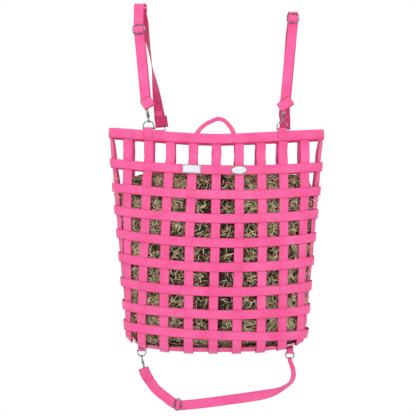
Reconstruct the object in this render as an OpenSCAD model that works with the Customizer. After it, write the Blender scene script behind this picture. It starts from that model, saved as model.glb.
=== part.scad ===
// Slow-feed hay bag of woven webbing, with two adjustable hanging straps,
// a carry handle and a bottom strap. Millimetres, +Z up, front towards -Y.
// The origin is the hang point: middle of the bag, midway in height between the straps' loops.

/* [Bag] */
// Width of the mouth, outside the binding
mouth_w = 587; // [560:1:600]
// Depth of the mouth, between the middles of its two sides
mouth_d = 100; // [96:1:110]
// Depth of the filled bag at its fullest
belly_d = 184; // [176:1:196]
// Width of the bag's webbing
web_w = 25; // [22:0.5:25]
// Thickness of all webbing
web_t = 1.6; // [1.4:0.1:1.8]
// Height of the folded binding round the mouth
binding_h = 26; // [24:1:30]
// Clear distance between the middles of crossing straps
layer = 3.4; // [3.2:0.1:3.8]

/* [Straps] */
// Width of the hanging and bottom straps
strap_w = 27; // [25:0.5:27]
// Inside radius of the loop at the top of each hanging strap
loop_r = 10; // [8:0.5:10]
// Width of the two short tabs under the bag
tab_w = 19; // [18:0.5:19]

/* [Hardware] */
// Radius of the wire of the D-rings, the snap eyes and the slides
wire_r = 1.5; // [1.3:0.1:1.6]
// Inside width of the slides
slide_inner_w = 30; // [29:0.5:32]
// Radius of the wire of the snap hooks
hook_wire_r = 1.3; // [1.2:0.1:1.4]
// Travel of the snap bolts
bolt_travel = 5; // [3:0.5:5]

/* [Hidden] */
$fn = 48;
pink = "#f26aa6";
deep_pink = "#c93a78";
nickel = "#b9b9b4";
hay_colour = "#9a8758";

// Heights of the mouth, the ring straps and the bottom
mouth_z = -340;
mouth_end_rise = 18.5;
mouth_skew = 2.5;
ring_z = [-437, -504, -568, -633, -698, -763, -824, -880];
ring_end_rise = [15, 16, 18, 19, 20, 17, 15, 10];
ring_tilt = [-5, -5, -5, -5, -5, -5, -5, -12];
round_z = -866;
bottom_z = -938;
round_h = round_z - bottom_z;
bottom_power = 3;

// Columns of the upright straps, as parts of the half width: at the mouth, half way down and low down
column_top = [-0.825, -0.63, -0.428, -0.216, 0, 0.213, 0.415, 0.62, 0.825];
column_mid = [-0.884, -0.707, -0.504, -0.265, -0.011, 0.221, 0.452, 0.664, 0.859];
column_low = [-0.95, -0.8, -0.56, -0.3, -0.038, 0.216, 0.472, 0.7, 0.9];

// Places of the D-rings' bars, and the D-rings' sizes
left_front = [-184, -50, -326];
left_back = [-158, 50, -326];
right_front = [178, -50, -328];
right_back = [190, 50, -328];
bottom_left = [-205.5, 0, -931];
bottom_right = [202, 0, -939];
ring_half = 14.3;
ring_side = 7;
small_half = 11.5;
small_side = 5;

// Middles of the two loops, and centre lines of the strap legs from the loop down
left_loop = [-212.5, 0, 11];
right_loop = [210.5, 0, -11];
left_leg = [[-212.5, -11, 10], [-213, -15, -20], [-212.6, -19.2, -52], [-191.5, -46.7, -254]];
left_back_leg = [[-212.5, 11, 10], [-212, 11.8, -3], [-205, 14, -22], [-196, 18.5, -50], [-188, 24, -90],
                 [-182, 30, -125], [-176.5, 35, -160], [-171, 40, -195], [-166, 43, -230],
                 [-161, 45, -265], [-158, 45, -288]];
left_back_turn = [0, 0, 14, 42, 68, 82, 95, 120, 145, 168, 180];
right_leg = [[210.5, -11, -12], [185.6, -46.7, -254]];
right_back_leg = [[210.5, 11, -12], [210, 11.6, -24], [206, 16, -60], [202, 26, -120], [197, 36, -190],
                  [192.5, 43, -250], [190, 45, -288]];
right_back_turn = [0, 0, 0, 0, 0, 0, 0];

// Centre line of the bottom strap, its twist in degrees and its width at each point
bottom_line = [[-201.4, -4.4, -979.4], [-197.4, -4.4, -990.7], [-192.3, -4, -1001.9], [-185.1, -2, -1013.1],
               [-177, 0, -1024.3], [-166.8, 0, -1037.6], [-154.5, 0, -1048.8], [-141.3, 0, -1059],
               [-126, 0, -1071.2], [-105.6, 0, -1082.4], [-77, 0, -1081.4], [-28, 0, -1076.3],
               [32, 0, -1068.2], [92, 0, -1060], [133, 0, -1053], [161.5, 0, -1045.7],
               [187, 0, -1033.5], [204.4, 0, -1020.2], [211.5, 0, -1005], [211.5, 0, -986.6],
               [208, -1, -975], [205, -2.4, -966.5], [202, -3.8, -960]];
bottom_turn = [0, 0, 0, 0, 0, 0, 0, 0, 0, 0, 0, 0, 0, 0, 10, 30, 50, 50, 40, 40, 20, 0, 0];
bottom_width = [27, 27, 27, 27, 27, 27, 27, 27, 27, 27, 27, 27, 27, 27, 27, 25, 22, 20, 19, 17, 14, 11, 10];
// Its sewn end: up in front of the right D-ring's wire, over it and down behind
bottom_end = [[202, -3.6, -954.5], [202, -2.4, -952.1], [202, 0, -951], [202, 2.4, -952.1],
              [202, 3.6, -954.5], [202, 3.8, -960], [204, 3.6, -968]];

// Centre line of the carry handle
handle_line = [[-49, -50, -330.8], [-44, -50, -325.6], [-35, -50, -317.5], [-24, -50, -310.5],
               [-12, -50, -304.5], [-2, -50, -300.3], [7, -50, -298.8], [16, -50, -301], [25, -50, -307],
               [34, -50, -316.5], [41, -50, -325], [45, -50, -330.8]];
handle_w = 11;
handle_t = 5;

// ---- small helpers ----
function unit(v) = v / norm(v);
function blend(a, b, k) = a + (b - a) * k;
function power(v, e) = pow(max(v, 0), e);
function signed_power(v, e) = sign(v) * pow(abs(v), e);

// ---- the bag's surface ----
// The middle of the upright straps lies on it, and "out" moves away from it.
function half_w(z) = lookup(z, [[-1000, 249], [-880, 251.5], [-824, 253.5], [-763, 258], [-698, 264],
                                [-633, 269.5], [-568, 275], [-504, 281.5], [-437, 286],
                                [-370, mouth_w / 2 - 3], [-300, mouth_w / 2 - 3]]);
function half_d(z) = lookup(z, [[-900, 0.46 * belly_d], [-824, 0.49 * belly_d], [-763, belly_d / 2],
                                [-698, 0.49 * belly_d], [-568, 0.43 * belly_d], [-437, 0.34 * belly_d],
                                [-370, mouth_d / 2], [-300, mouth_d / 2]]);
// How square the bag is in plan: nearly a rectangle at the mouth, rounder below
function squareness(z) = lookup(z, [[-633, 2.8], [-568, 3.1], [-504, 3.8], [-437, 5], [-370, 8], [-300, 8]]);
function rim_z(x) =
  let (u = x * 2 / mouth_w)
  mouth_z - 2.4 + (mouth_end_rise - mouth_skew * u) * sqrt(u * u + 0.022);
// How much the rounded bottom has drawn in at height z
function draw_in(z) = power(1 - power((round_z - z) / round_h, bottom_power), 1 / bottom_power);

function plan_y(x, z, out) =
  let (n = squareness(z), f = z < round_z ? draw_in(z) : 1)
  (half_d(z) + out) * power(power(f, n) - pow(abs(x) / (half_w(z) + out), n), 1 / n);
function plan_x(y, z, out) =
  let (n = squareness(z), f = z < round_z ? draw_in(z) : 1)
  (half_w(z) + out) * power(power(f, n) - pow(abs(y) / (half_d(z) + out), n), 1 / n);
// Height of the rounded bottom at a place in plan
function floor_z(x, y, out) =
  let (n = squareness(round_z),
       f = power(pow(abs(x) / (half_w(round_z) + out), n) + pow(abs(y) / (half_d(round_z) + out), n), 1 / n))
  round_z - (round_h + out) * power(1 - power(f, bottom_power), 1 / bottom_power);

// ---- swept solids ----
// A closed chain of four-cornered sections, each from two edge points and a normal
function ribbon_section(a, b, n, t) = [a + n * t / 2, b + n * t / 2, b - n * t / 2, a - n * t / 2];
module sweep(sections, closed = false) {
  m = len(sections[0]);
  k = len(sections);
  steps = closed ? k : k - 1;
  sides = [for (i = [0:steps - 1]) for (j = [0:m - 1])
    let (p = i * m + j, q = i * m + (j + 1) % m, r = ((i + 1) % k) * m + (j + 1) % m, s = ((i + 1) % k) * m + j)
    each (m == 4 && j == 2 ? [[p, s, q], [q, s, r]] : [[p, r, q], [p, s, r]])];
  ends = closed ? [] : [[0, 1, 2], [0, 2, 3],
                        [(k - 1) * m + 2, (k - 1) * m + 1, (k - 1) * m],
                        [(k - 1) * m + 3, (k - 1) * m + 2, (k - 1) * m]];
  polyhedron([for (s = sections) each s], concat(sides, ends));
}
function path_dir(p, i) = unit(p[min(i + 1, len(p) - 1)] - p[max(i - 1, 0)]);
// The direction across a strap: lead, turned about the path by an angle
function across(dir, lead, angle) =
  let (a = unit(lead - dir * (lead * dir)), b = cross(dir, a))
  a * cos(angle) + b * sin(angle);
// A strap along a path: its widths, the directions that lead its width, and its turns about the path
module strap(path, widths, leads, turns, t = web_t) {
  sweep([for (i = [0:len(path) - 1])
    let (d = path_dir(path, i), w = across(d, leads[i], turns[i]), n = cross(d, w))
    ribbon_section(path[i] - w * widths[i] / 2, path[i] + w * widths[i] / 2, n, t)]);
}
// A place and a direction for what follows, its own Z axis along u
module along(p, u, spin = 0) {
  translate(p) rotate([-asin(u[1]), atan2(u[0], u[2]), 0]) rotate([0, 0, spin]) children();
}

// ---- the bag ----
// A place on the bag at a turn about it, at a height that rises and tilts towards the ends
function end_lift(a, z, rise, tilt) =
  let (u = signed_power(cos(a), 2 / squareness(z)))
  rise * u * u + tilt * u;
function plan_point(a, z_of, rise, tilt, out) =
  let (z = z_of + end_lift(a, z_of, rise, tilt), n = squareness(z), f = z < round_z ? draw_in(z) : 1)
  [(half_w(z) + out) * f * signed_power(cos(a), 2 / n),
   (half_d(z) + out) * f * signed_power(sin(a), 2 / n), z];
ring_stations = 64;
function station(i) = 360 * i / ring_stations;

module rim_binding() {
  slot = 2.8;
  wall = web_t;
  a = mouth_w / 2 - 3;
  b = mouth_d / 2;
  function flat(i, out) = let (s = station(i), n = squareness(mouth_z))
    [(a + out) * signed_power(cos(s), 2 / n), (b + out) * signed_power(sin(s), 2 / n)];
  function point(i, out, down) = let (p = flat(i, out)) [p[0], p[1], rim_z(p[0]) - down];
  outer = slot / 2 + wall;
  inner = slot / 2;
  color(pink) sweep([for (i = [0:ring_stations - 1])
    [point(i, outer, 0), point(i, outer, binding_h), point(i, inner, binding_h), point(i, inner, wall),
     point(i, -inner, wall), point(i, -inner, binding_h), point(i, -outer, binding_h), point(i, -outer, 0)]],
    closed = true);
}

module ring_strap(k) {
  z = ring_z[k - 1];
  rise = ring_end_rise[k - 1];
  tilt = ring_tilt[k - 1];
  // The lowest ring lies a little further out, over the straps that turn under the bag
  out = layer + (k == len(ring_z) ? 0.8 : 0);
  function point(s, up) = plan_point(s, z + up, rise, tilt, out);
  color(pink) sweep([for (i = [0:ring_stations - 1])
    let (s = station(i), top = point(s, web_w / 2), low = point(s, -web_w / 2),
         n = unit(cross(point(s + 1, 0) - point(s - 1, 0), top - low)))
    ribbon_section(top, low, n, web_t)], closed = true);
}

// One upright: from the front of the mouth, down, under the bag and up the back
function column(c, z) =
  half_w(z) * lookup(z, [[-841, column_low[c + 4]], [-600, column_mid[c + 4]], [-385, column_top[c + 4]]]);
// Half the width of an upright as seen from the front: less where it wraps the bag's corner
function half_seen(x, z) =
  let (slope = plan_y(x + 0.5, z, 0) - plan_y(x - 0.5, z, 0))
  web_w / 2 / sqrt(1 + slope * slope);
module upright_strap(c) {
  heights = [rim_z(column(c, -350)) - 8, -371, -385, -420, -455, -500, -545, -590, -640, -700, -760, -815, -850];
  turns = [for (a = [6:14:174]) a];
  function edge(z, side, front) =
    let (middle = column(c, z), x = middle + side * half_seen(middle, z))
    [x, (front ? -1 : 1) * plan_y(x, z, 0), z];
  function under(a, side) =
    let (middle = column(c, round_z), x = middle + side * half_seen(middle, round_z),
         y = -half_d(round_z) * power(1 - pow(abs(x) / half_w(round_z), 2.8), 1 / 2.8) * signed_power(cos(a), 0.8))
    [x, y, floor_z(x, y, 0)];
  lefts = concat([for (z = heights) edge(z, -1, true)], [for (a = turns) under(a, -1)],
                 [for (i = [len(heights) - 1:-1:0]) edge(heights[i], -1, false)]);
  rights = concat([for (z = heights) edge(z, 1, true)], [for (a = turns) under(a, 1)],
                  [for (i = [len(heights) - 1:-1:0]) edge(heights[i], 1, false)]);
  middles = (lefts + rights) / 2;
  color(pink) sweep([for (i = [0:len(lefts) - 1])
    ribbon_section(lefts[i], rights[i], unit(cross(path_dir(middles, i), rights[i] - lefts[i])), web_t)]);
}

// One end strap: from the mouth's left end, down, lengthwise under the bag and up its right end
module end_strap(side) {
  low_inset = -layer - 2.5;
  heights = [-334, -371, -385, -420, -455, -500, -545, -590, -640, -700, -760, -815, -850];
  function aside(z) = lookup(z, [[-866, 20], [-700, 22], [-568, 20], [-437, 17], [-370, 15]]);
  function inset(z) = lookup(z, [[-850, low_inset], [-640, -layer], [-420, -layer], [-385, -1.5], [-371, 0]]);
  function edge(z, w, left) =
    let (y = side * aside(z) + w * web_w / 2)
    [(left ? -1 : 1) * plan_x(y, z, inset(z)), y, z];
  function under(x, w) =
    let (y = side * lookup(abs(x), [[0, 58], [100, 57], [150, 50], [190, 36], [225, 20]]) + w * web_w / 2)
    [x, y, floor_z(x, y, low_inset)];
  runs = [0.93, 0.86, 0.78, 0.68, 0.56, 0.42, 0.28, 0.14];
  xs = concat([for (r = runs) -r * 237], [0], [for (i = [len(runs) - 1:-1:0]) runs[i] * 237]);
  a = concat([for (z = heights) edge(z, -1, true)], [for (x = xs) under(x, -1)],
             [for (i = [len(heights) - 1:-1:0]) edge(heights[i], -1, false)]);
  b = concat([for (z = heights) edge(z, 1, true)], [for (x = xs) under(x, 1)],
             [for (i = [len(heights) - 1:-1:0]) edge(heights[i], 1, false)]);
  middles = (a + b) / 2;
  color(pink) sweep([for (i = [0:len(a) - 1])
    ribbon_section(a[i], b[i], unit(cross(path_dir(middles, i), b[i] - a[i])), web_t)]);
}

// Loops sewn over the binding, each round one D-ring's bar
module rim_tabs() {
  r = 3.8;
  leg = 24;
  color(pink) for (p = [left_front, left_back, right_front, right_back])
    translate(p) {
      rotate([90, 0, 90]) rotate_extrude(angle = 180) translate([r, -web_w / 2]) square([web_t, web_w]);
      for (s = [-1, 1])
        translate([-web_w / 2, s > 0 ? r : -r - web_t, -leg]) cube([web_w, web_t, leg]);
    }
}
module bottom_tabs() {
  r = 2.2;
  foot = 15;
  color(pink) for (t = [[bottom_left, 6], [bottom_right, 13]])
    let (rise = t[1]) translate(t[0]) {
      rotate([-90, 0, 90]) rotate_extrude(angle = 180) translate([r, -tab_w / 2]) square([web_t, tab_w]);
      for (s = [-1, 1]) {
        translate([-tab_w / 2, s > 0 ? r : -r - web_t, 0]) cube([tab_w, web_t, rise]);
        translate([-tab_w / 2, s > 0 ? r : -foot, rise - web_t]) cube([tab_w, foot - r, web_t]);
      }
    }
}
module front_labels() {
  y = -half_d(ring_z[0]) - layer - web_t / 2 - 0.4;
  lean = 81;
  color("white") translate([-67, y, -435]) rotate([lean, 3, 0]) linear_extrude(0.8) square([50, 23], center = true);
  color("white") translate([60.5, y, -438]) rotate([lean, -2, 0]) linear_extrude(0.8)
    polygon([for (a = [0:12:348]) [22 * cos(a), 12 * sin(a)]]);
}
// The hay: fills the bag to a rounded heap below the mouth
module hay_fill() {
  levels = [[-926, 0.3], [-922, 0.55], [-912, 0.76], [-895, 0.9], [-870, 0.975], [-815, 1], [-740, 1],
            [-660, 1], [-590, 0.99], [-540, 0.98], [-505, 0.965], [-480, 0.93], [-462, 0.85], [-451, 0.68],
            [-446, 0.4]];
  gap = -8;
  turns = 36;
  function point(l, i) =
    let (z = levels[l][0], f = levels[l][1], n = squareness(max(z, -600)), a = 360 * i / turns)
    [(half_w(z) + gap - 4) * f * signed_power(cos(a), 2 / n), (half_d(z) + gap) * f * signed_power(sin(a), 2 / n), z];
  points = concat([for (l = [0:len(levels) - 1]) for (i = [0:turns - 1]) point(l, i)],
                  [[0, 0, levels[0][0] - 1], [0, 0, levels[len(levels) - 1][0] + 2]]);
  base = len(levels) * turns;
  top = (len(levels) - 1) * turns;
  color(hay_colour) polyhedron(points, concat(
    [for (l = [0:len(levels) - 2]) for (i = [0:turns - 1])
      let (p = l * turns + i, q = l * turns + (i + 1) % turns, r = q + turns, s = p + turns)
      each [[p, r, q], [p, s, r]]],
    [for (i = [0:turns - 1]) [i, (i + 1) % turns, base]],
    [for (i = [0:turns - 1]) [top + (i + 1) % turns, top + i, base + 1]]));
}
module carry_handle() {
  n = len(handle_line);
  color(pink) strap(handle_line, [for (i = [0:n - 1]) handle_w], [for (i = [0:n - 1]) [0, 0, 1]],
                    [for (i = [0:n - 1]) 0], handle_t);
}

// ---- the hanging straps ----
module strap_loop(centre) {
  color(pink) translate(centre) rotate([90, 0, 90]) rotate_extrude(angle = 180)
    translate([loop_r, -strap_w / 2]) square([web_t, strap_w]);
}
module front_leg(path) {
  color(pink) strap(path, [for (p = path) strap_w], [for (p = path) [1, 0, 0]], [for (p = path) 0]);
}
// The sewn end of a back leg: down behind the ring's wire, under it and up again
function back_end(leg_end, bar) =
  let (w = bar + [0, 0, ring_side + ring_half])
  [[leg_end[0], w[1] - 4.7, leg_end[2]], [w[0], w[1] - 4.7, w[2] + 3], [w[0], w[1] - 3.8, w[2] - 3],
   [w[0], w[1], w[2] - 5.6], [w[0], w[1] + 3.8, w[2] - 3], [w[0], w[1] + 4.7, w[2] + 3],
   [w[0], w[1] + 4.7, w[2] + 22]];
module back_leg(path, turns, bar) {
  tail = back_end(path[len(path) - 1], bar);
  full = concat([for (i = [0:len(path) - 2]) path[i]], tail);
  angles = concat([for (i = [0:len(path) - 2]) turns[i]], [for (i = tail) turns[len(turns) - 1]]);
  m = len(full);
  color(deep_pink) strap(full, [for (i = [0:m - 1]) i >= m - 6 && i <= m - 2 ? 12 : strap_w],
                         [for (i = [0:m - 1]) [1, 0, 0]], angles);
}

// ---- D-rings, slides and snaps, each in its own frame ----
module d_ring(half, side) {
  color(nickel) {
    rotate([90, 0, 0]) translate([0, side, 0]) rotate_extrude(angle = 180) translate([half, 0]) circle(wire_r);
    rotate([0, 90, 0]) cylinder(h = 2 * half, r = wire_r, center = true);
    for (s = [-1, 1])
      translate([s * half, 0, 0]) {
        sphere(wire_r);
        cylinder(h = side, r = wire_r);
      }
  }
}
slide_half_w = slide_inner_w / 2 + wire_r;
slide_half_h = 13;
slide_gap = web_t / 2 + 0.4 + wire_r;
// A three-bar slide, its bars along X, in front of the strap
module slide_frame(half_h) {
  color(nickel) translate([0, -slide_gap, 0]) {
    for (z = [-half_h, 0, half_h])
      translate([0, 0, z]) rotate([0, 90, 0]) cylinder(h = 2 * slide_half_w, r = wire_r, center = true);
    for (s = [-1, 1]) {
      translate([s * slide_half_w, 0, 0]) cylinder(h = 2 * half_h, r = wire_r, center = true);
      for (z = [-half_h, half_h])
        translate([s * slide_half_w, 0, z]) sphere(wire_r);
    }
  }
}
// The fold of webbing over the slide's middle bar
module slide_wrap() {
  r = wire_r + 0.35;
  foot = slide_gap - web_t / 2 - 0.4;
  color(pink) translate([0, -slide_gap, 0]) {
    rotate([90, 0, 0]) rotate([90, 0, 90]) rotate_extrude(angle = 180) translate([r, -strap_w / 2])
      square([web_t, strap_w]);
    for (s = [-1, 1])
      translate([-strap_w / 2, 0, s > 0 ? r : -r - web_t]) cube([strap_w, foot, web_t]);
  }
}

eye_r = 13.5;
eye_z = 52;
barrel_r = 4.2;
barrel_top = 30;
barrel_low = 14;
strand_x = 6.5;
guide_r = 2.7;
guide_bore_r = 1.65;
guide_low = 9;
guide_top = 23;
bore_top = 21.6;
bolt_r = 1.5;
bolt_low = 2.6;
bolt_top = 16;
stud_z = 12;

// The swivel eye: a round eye, its collar, and a headed post down into the barrel
module snap_eye() {
  post_r = 1.5;
  head_r = 2.5;
  color(nickel) {
    translate([0, 0, eye_z]) rotate([90, 0, 0]) rotate_extrude() translate([eye_r, 0]) circle(wire_r);
    translate([0, 0, barrel_top + 0.4]) cylinder(h = 3.6, r = 3.6);
    translate([0, 0, barrel_top + 4]) cylinder(h = eye_z - eye_r - barrel_top - 4, r1 = 3.6, r2 = 2);
    translate([0, 0, 22]) cylinder(h = barrel_top - 21, r = post_r);
    translate([0, 0, 20]) cylinder(h = 2.4, r = head_r);
  }
}
// The hook: a barrel round the swivel's post, a fixed strand and hook, and the bolt's guide
module snap_hook() {
  color(nickel) {
    difference() {
      translate([0, 0, barrel_low]) cylinder(h = barrel_top - barrel_low, r = barrel_r);
      translate([0, 0, 18]) cylinder(h = 7, r = 2.8);
      translate([0, 0, 24]) cylinder(h = 10, r = 1.6);
      translate([strand_x, 0, guide_low]) cylinder(h = bore_top - guide_low, r = guide_bore_r);
    }
    translate([-strand_x, 0, 0]) cylinder(h = barrel_low + 3, r = hook_wire_r);
    translate([-strand_x, 0, barrel_low + 3]) sphere(hook_wire_r);
    translate([-strand_x, 0, barrel_low + 1.7]) rotate([0, 90, 0]) cylinder(h = strand_x, r = hook_wire_r);
    rotate([-90, 0, 0]) rotate_extrude(angle = 180) translate([strand_x, 0]) circle(hook_wire_r);
    translate([strand_x, 0, 0]) cylinder(h = 2, r = hook_wire_r);
    difference() {
      union() {
        translate([strand_x, 0, guide_low]) cylinder(h = guide_top - guide_low, r = guide_r);
        translate([barrel_r - 1, -1.2, guide_low + 6]) cube([2, 2.4, 7.6]);
      }
      translate([strand_x, 0, guide_low - 1]) cylinder(h = bore_top - guide_low + 1, r = guide_bore_r);
      translate([strand_x, -1.7, stud_z - 1.8]) cube([6, 3.4, bolt_travel + 3.6]);
      translate([0, 0, 18]) cylinder(h = 7, r = 2.8);
    }
  }
}
// The sliding bolt that closes the hook, with its thumb stud
module snap_bolt() {
  color(nickel) {
    translate([strand_x, 0, bolt_low]) cylinder(h = bolt_top - bolt_low, r = bolt_r);
    translate([strand_x, 0, stud_z]) rotate([0, 90, 0]) cylinder(h = 5.5, r = 1.4);
    translate([strand_x + 5.5, 0, stud_z]) sphere(1.8);
  }
}
// The coil spring behind the bolt
module snap_spring() {
  coils = 4;
  wire = 0.3;
  color(nickel) for (i = [0:coils - 1])
    translate([strand_x, 0, bolt_top + 0.5 + i * 1.2]) rotate_extrude() translate([1.1, 0]) circle(wire, $fn = 16);
}

// ---- the frames of the three snaps and three slides ----
// Directions from each hook to its eye, and each hook's turn about its own axis
left_snap_u = unit([-5, 4.6, 36]);
right_snap_u = unit([5, 4.6, 36]);
bottom_snap_u = unit([7, 0, -34]);
hook_turn = 75;
small_snap = 0.8;
hook_lift = 2.5;
function hook_place(bar, u, side, half, up) = bar + [0, 0, up * (side + half)] + u * hook_lift;
left_snap_p = hook_place(left_front, left_snap_u, ring_side, ring_half, 1);
right_snap_p = hook_place(right_front, right_snap_u, ring_side, ring_half, 1);
bottom_snap_p = bottom_left - [0, 0, small_side + small_half] + bottom_snap_u * hook_lift * small_snap;
left_slide_u = unit(left_leg[2] - left_leg[3]);
right_slide_u = unit(right_leg[0] - right_leg[1]);
right_slide_p = right_leg[0] - right_slide_u * 9;
bottom_slide_p = [-105.6, 0, -1080.5];
bottom_slide_u = unit([1, 0, -0.12]);

// The folded end in front of a snap's eye, and the neck of webbing through the eye
module strap_fold(p, u, tilt, shift, size) {
  color(pink) along(p + u * eye_z, u) {
    translate([shift[0], -6.2, shift[1]]) rotate([0, tilt, 0])
      cube([size[0], 3.2, size[1]], center = true);
    translate([-6, -5, -7]) cube([12, 7.5, web_t]);
  }
}

module bottom_strap_webbing() {
  path = concat(bottom_line, bottom_end);
  n = len(bottom_line);
  // Its width lies in the plane of its curve, turned about the path near the right end
  function width_dir(i) =
    let (d = path_dir(path, i), flat = unit([d[2], 0, -d[0]]))
    i >= n ? [1, 0, 0] : unit(flat * cos(bottom_turn[i]) + cross(d, flat) * sin(bottom_turn[i]));
  color(pink) sweep([for (i = [0:len(path) - 1])
    let (w = width_dir(i), s = (i < n ? bottom_width[i] : 10) / 2)
    ribbon_section(path[i] - w * s, path[i] + w * s, unit(cross(path_dir(path, i), w)), web_t)]);
}
// The neck of webbing through the bottom snap's eye, and the sewn end behind it
module bottom_strap_fold() {
  color(pink) along(bottom_snap_p + bottom_snap_u * eye_z * small_snap, bottom_snap_u) {
    translate([-5, -3.5, -5]) cube([10, 6.6, web_t]);
    translate([-8, 2.2, -5]) cube([16, web_t, 22]);
  }
}
module bottom_slide_place() {
  along(bottom_slide_p, bottom_slide_u) children();
}
module bottom_snap_place(turn) {
  along(bottom_snap_p, bottom_snap_u, turn) scale(small_snap) children();
}

rim_binding();
ring_strap(1);  // ring_strap_1
ring_strap(2);  // ring_strap_2
ring_strap(3);  // ring_strap_3
ring_strap(4);  // ring_strap_4
ring_strap(5);  // ring_strap_5
ring_strap(6);  // ring_strap_6
ring_strap(7);  // ring_strap_7
ring_strap(8);  // ring_strap_8
upright_strap(-4);  // upright_strap_1
upright_strap(-3);  // upright_strap_2
upright_strap(-2);  // upright_strap_3
upright_strap(-1);  // upright_strap_4
upright_strap(0);  // upright_strap_5
upright_strap(1);  // upright_strap_6
upright_strap(2);  // upright_strap_7
upright_strap(3);  // upright_strap_8
upright_strap(4);  // upright_strap_9
end_strap(-1);  // end_strap_front
end_strap(1);  // end_strap_back
rim_tabs();
bottom_tabs();
front_labels();
hay_fill();
carry_handle();
strap_loop(left_loop);  // left_strap_loop
front_leg(left_leg);  // left_strap_front_leg
back_leg(left_back_leg, left_back_turn, left_back);  // left_strap_back_leg
strap_fold(left_snap_p, left_snap_u, -20, [4, -6], [30, 27]);  // left_strap_fold
along(left_leg[2], left_slide_u) slide_frame(slide_half_h);  // left_slide_frame
along(left_leg[2], left_slide_u) slide_wrap();  // left_slide_wrap
translate(left_front) d_ring(ring_half, ring_side);  // left_front_ring
translate(left_back) d_ring(ring_half, ring_side);  // left_back_ring
along(left_snap_p, left_snap_u) snap_eye();  // left_snap_eye
along(left_snap_p, left_snap_u, hook_turn) snap_hook();  // left_snap_hook
along(left_snap_p, left_snap_u, hook_turn) snap_bolt();  // left_snap_bolt
along(left_snap_p, left_snap_u, hook_turn) snap_spring();  // left_snap_spring
strap_loop(right_loop);  // right_strap_loop
front_leg(right_leg);  // right_strap_front_leg
back_leg(right_back_leg, right_back_turn, right_back);  // right_strap_back_leg
strap_fold(right_snap_p, right_snap_u, -43, [2, -6], [38, 25]);  // right_strap_fold
along(right_slide_p, right_slide_u) slide_frame(slide_half_h);  // right_slide_frame
along(right_slide_p, right_slide_u) slide_wrap();  // right_slide_wrap
translate(right_front) d_ring(ring_half, ring_side);  // right_front_ring
translate(right_back) d_ring(ring_half, ring_side);  // right_back_ring
along(right_snap_p, right_snap_u) snap_eye();  // right_snap_eye
along(right_snap_p, right_snap_u, -hook_turn) snap_hook();  // right_snap_hook
along(right_snap_p, right_snap_u, -hook_turn) snap_bolt();  // right_snap_bolt
along(right_snap_p, right_snap_u, -hook_turn) snap_spring();  // right_snap_spring
bottom_strap_webbing();
bottom_strap_fold();
bottom_slide_place() slide_frame(9);  // bottom_slide_frame
bottom_slide_place() slide_wrap();  // bottom_slide_wrap
translate(bottom_left) rotate([180, 0, 0]) d_ring(small_half, small_side);  // bottom_left_ring
translate(bottom_right) rotate([180, 0, 0]) d_ring(small_half, small_side);  // bottom_right_ring
bottom_snap_place(0) snap_eye();  // bottom_snap_eye
bottom_snap_place(hook_turn) snap_hook();  // bottom_snap_hook
bottom_snap_place(hook_turn) snap_bolt();  // bottom_snap_bolt
bottom_snap_place(hook_turn) snap_spring();  // bottom_snap_spring
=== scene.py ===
"""Slow-feed hay bag of woven webbing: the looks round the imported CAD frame.

Shapes are worked out in millimetres in the row frame, as in the CAD, and turned into metres
when a mesh is made. +Z is up and the bag's front faces -Y.
"""

import math

import bpy
import numpy as np
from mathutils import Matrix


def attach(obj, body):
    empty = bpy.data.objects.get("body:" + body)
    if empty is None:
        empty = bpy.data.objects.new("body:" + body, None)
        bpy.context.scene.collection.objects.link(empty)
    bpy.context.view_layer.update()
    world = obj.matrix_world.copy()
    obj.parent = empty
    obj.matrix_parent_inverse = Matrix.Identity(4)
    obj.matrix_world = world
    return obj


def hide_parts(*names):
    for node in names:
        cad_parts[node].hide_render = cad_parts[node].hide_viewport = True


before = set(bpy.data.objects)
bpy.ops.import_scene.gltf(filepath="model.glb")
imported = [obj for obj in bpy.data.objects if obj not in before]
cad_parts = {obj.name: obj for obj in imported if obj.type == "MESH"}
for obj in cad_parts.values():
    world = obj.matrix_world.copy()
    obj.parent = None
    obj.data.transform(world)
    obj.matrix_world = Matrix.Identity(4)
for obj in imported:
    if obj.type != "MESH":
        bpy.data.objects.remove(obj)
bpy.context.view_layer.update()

MM = 0.001
SEED = 11

# The bag, as in the CAD
MOUTH_W = 587.0
MOUTH_D = 100.0
BELLY_D = 184.0
WEB_W = 25.0
WEB_T = 1.6
BINDING_H = 26.0
MOUTH_Z = -340.0
MOUTH_END_RISE = 18.5
MOUTH_SKEW = 2.5
RING_Z = (-437.0, -504.0, -568.0, -633.0, -698.0, -763.0, -824.0, -880.0)
RING_END_RISE = (15.0, 16.0, 18.0, 19.0, 20.0, 17.0, 15.0, 10.0)
RING_TILT = (-5.0, -5.0, -5.0, -5.0, -5.0, -5.0, -5.0, -12.0)
ROUND_Z = -866.0
BOTTOM_Z = -938.0
# Middles of the nine uprights, as parts of the half width: at the mouth, half way down and low down
COLUMN_TOP = (-0.825, -0.63, -0.428, -0.216, 0.0, 0.213, 0.415, 0.62, 0.825)
COLUMN_MID = (-0.884, -0.707, -0.504, -0.265, -0.011, 0.221, 0.452, 0.664, 0.859)
COLUMN_LOW = (-0.95, -0.8, -0.56, -0.3, -0.038, 0.216, 0.472, 0.7, 0.9)
COLUMNS = range(9)
# Visible straps lie closer together than the CAD's
LAYER = 2.1
LOW_INSET = -LAYER - 2.2

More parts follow.
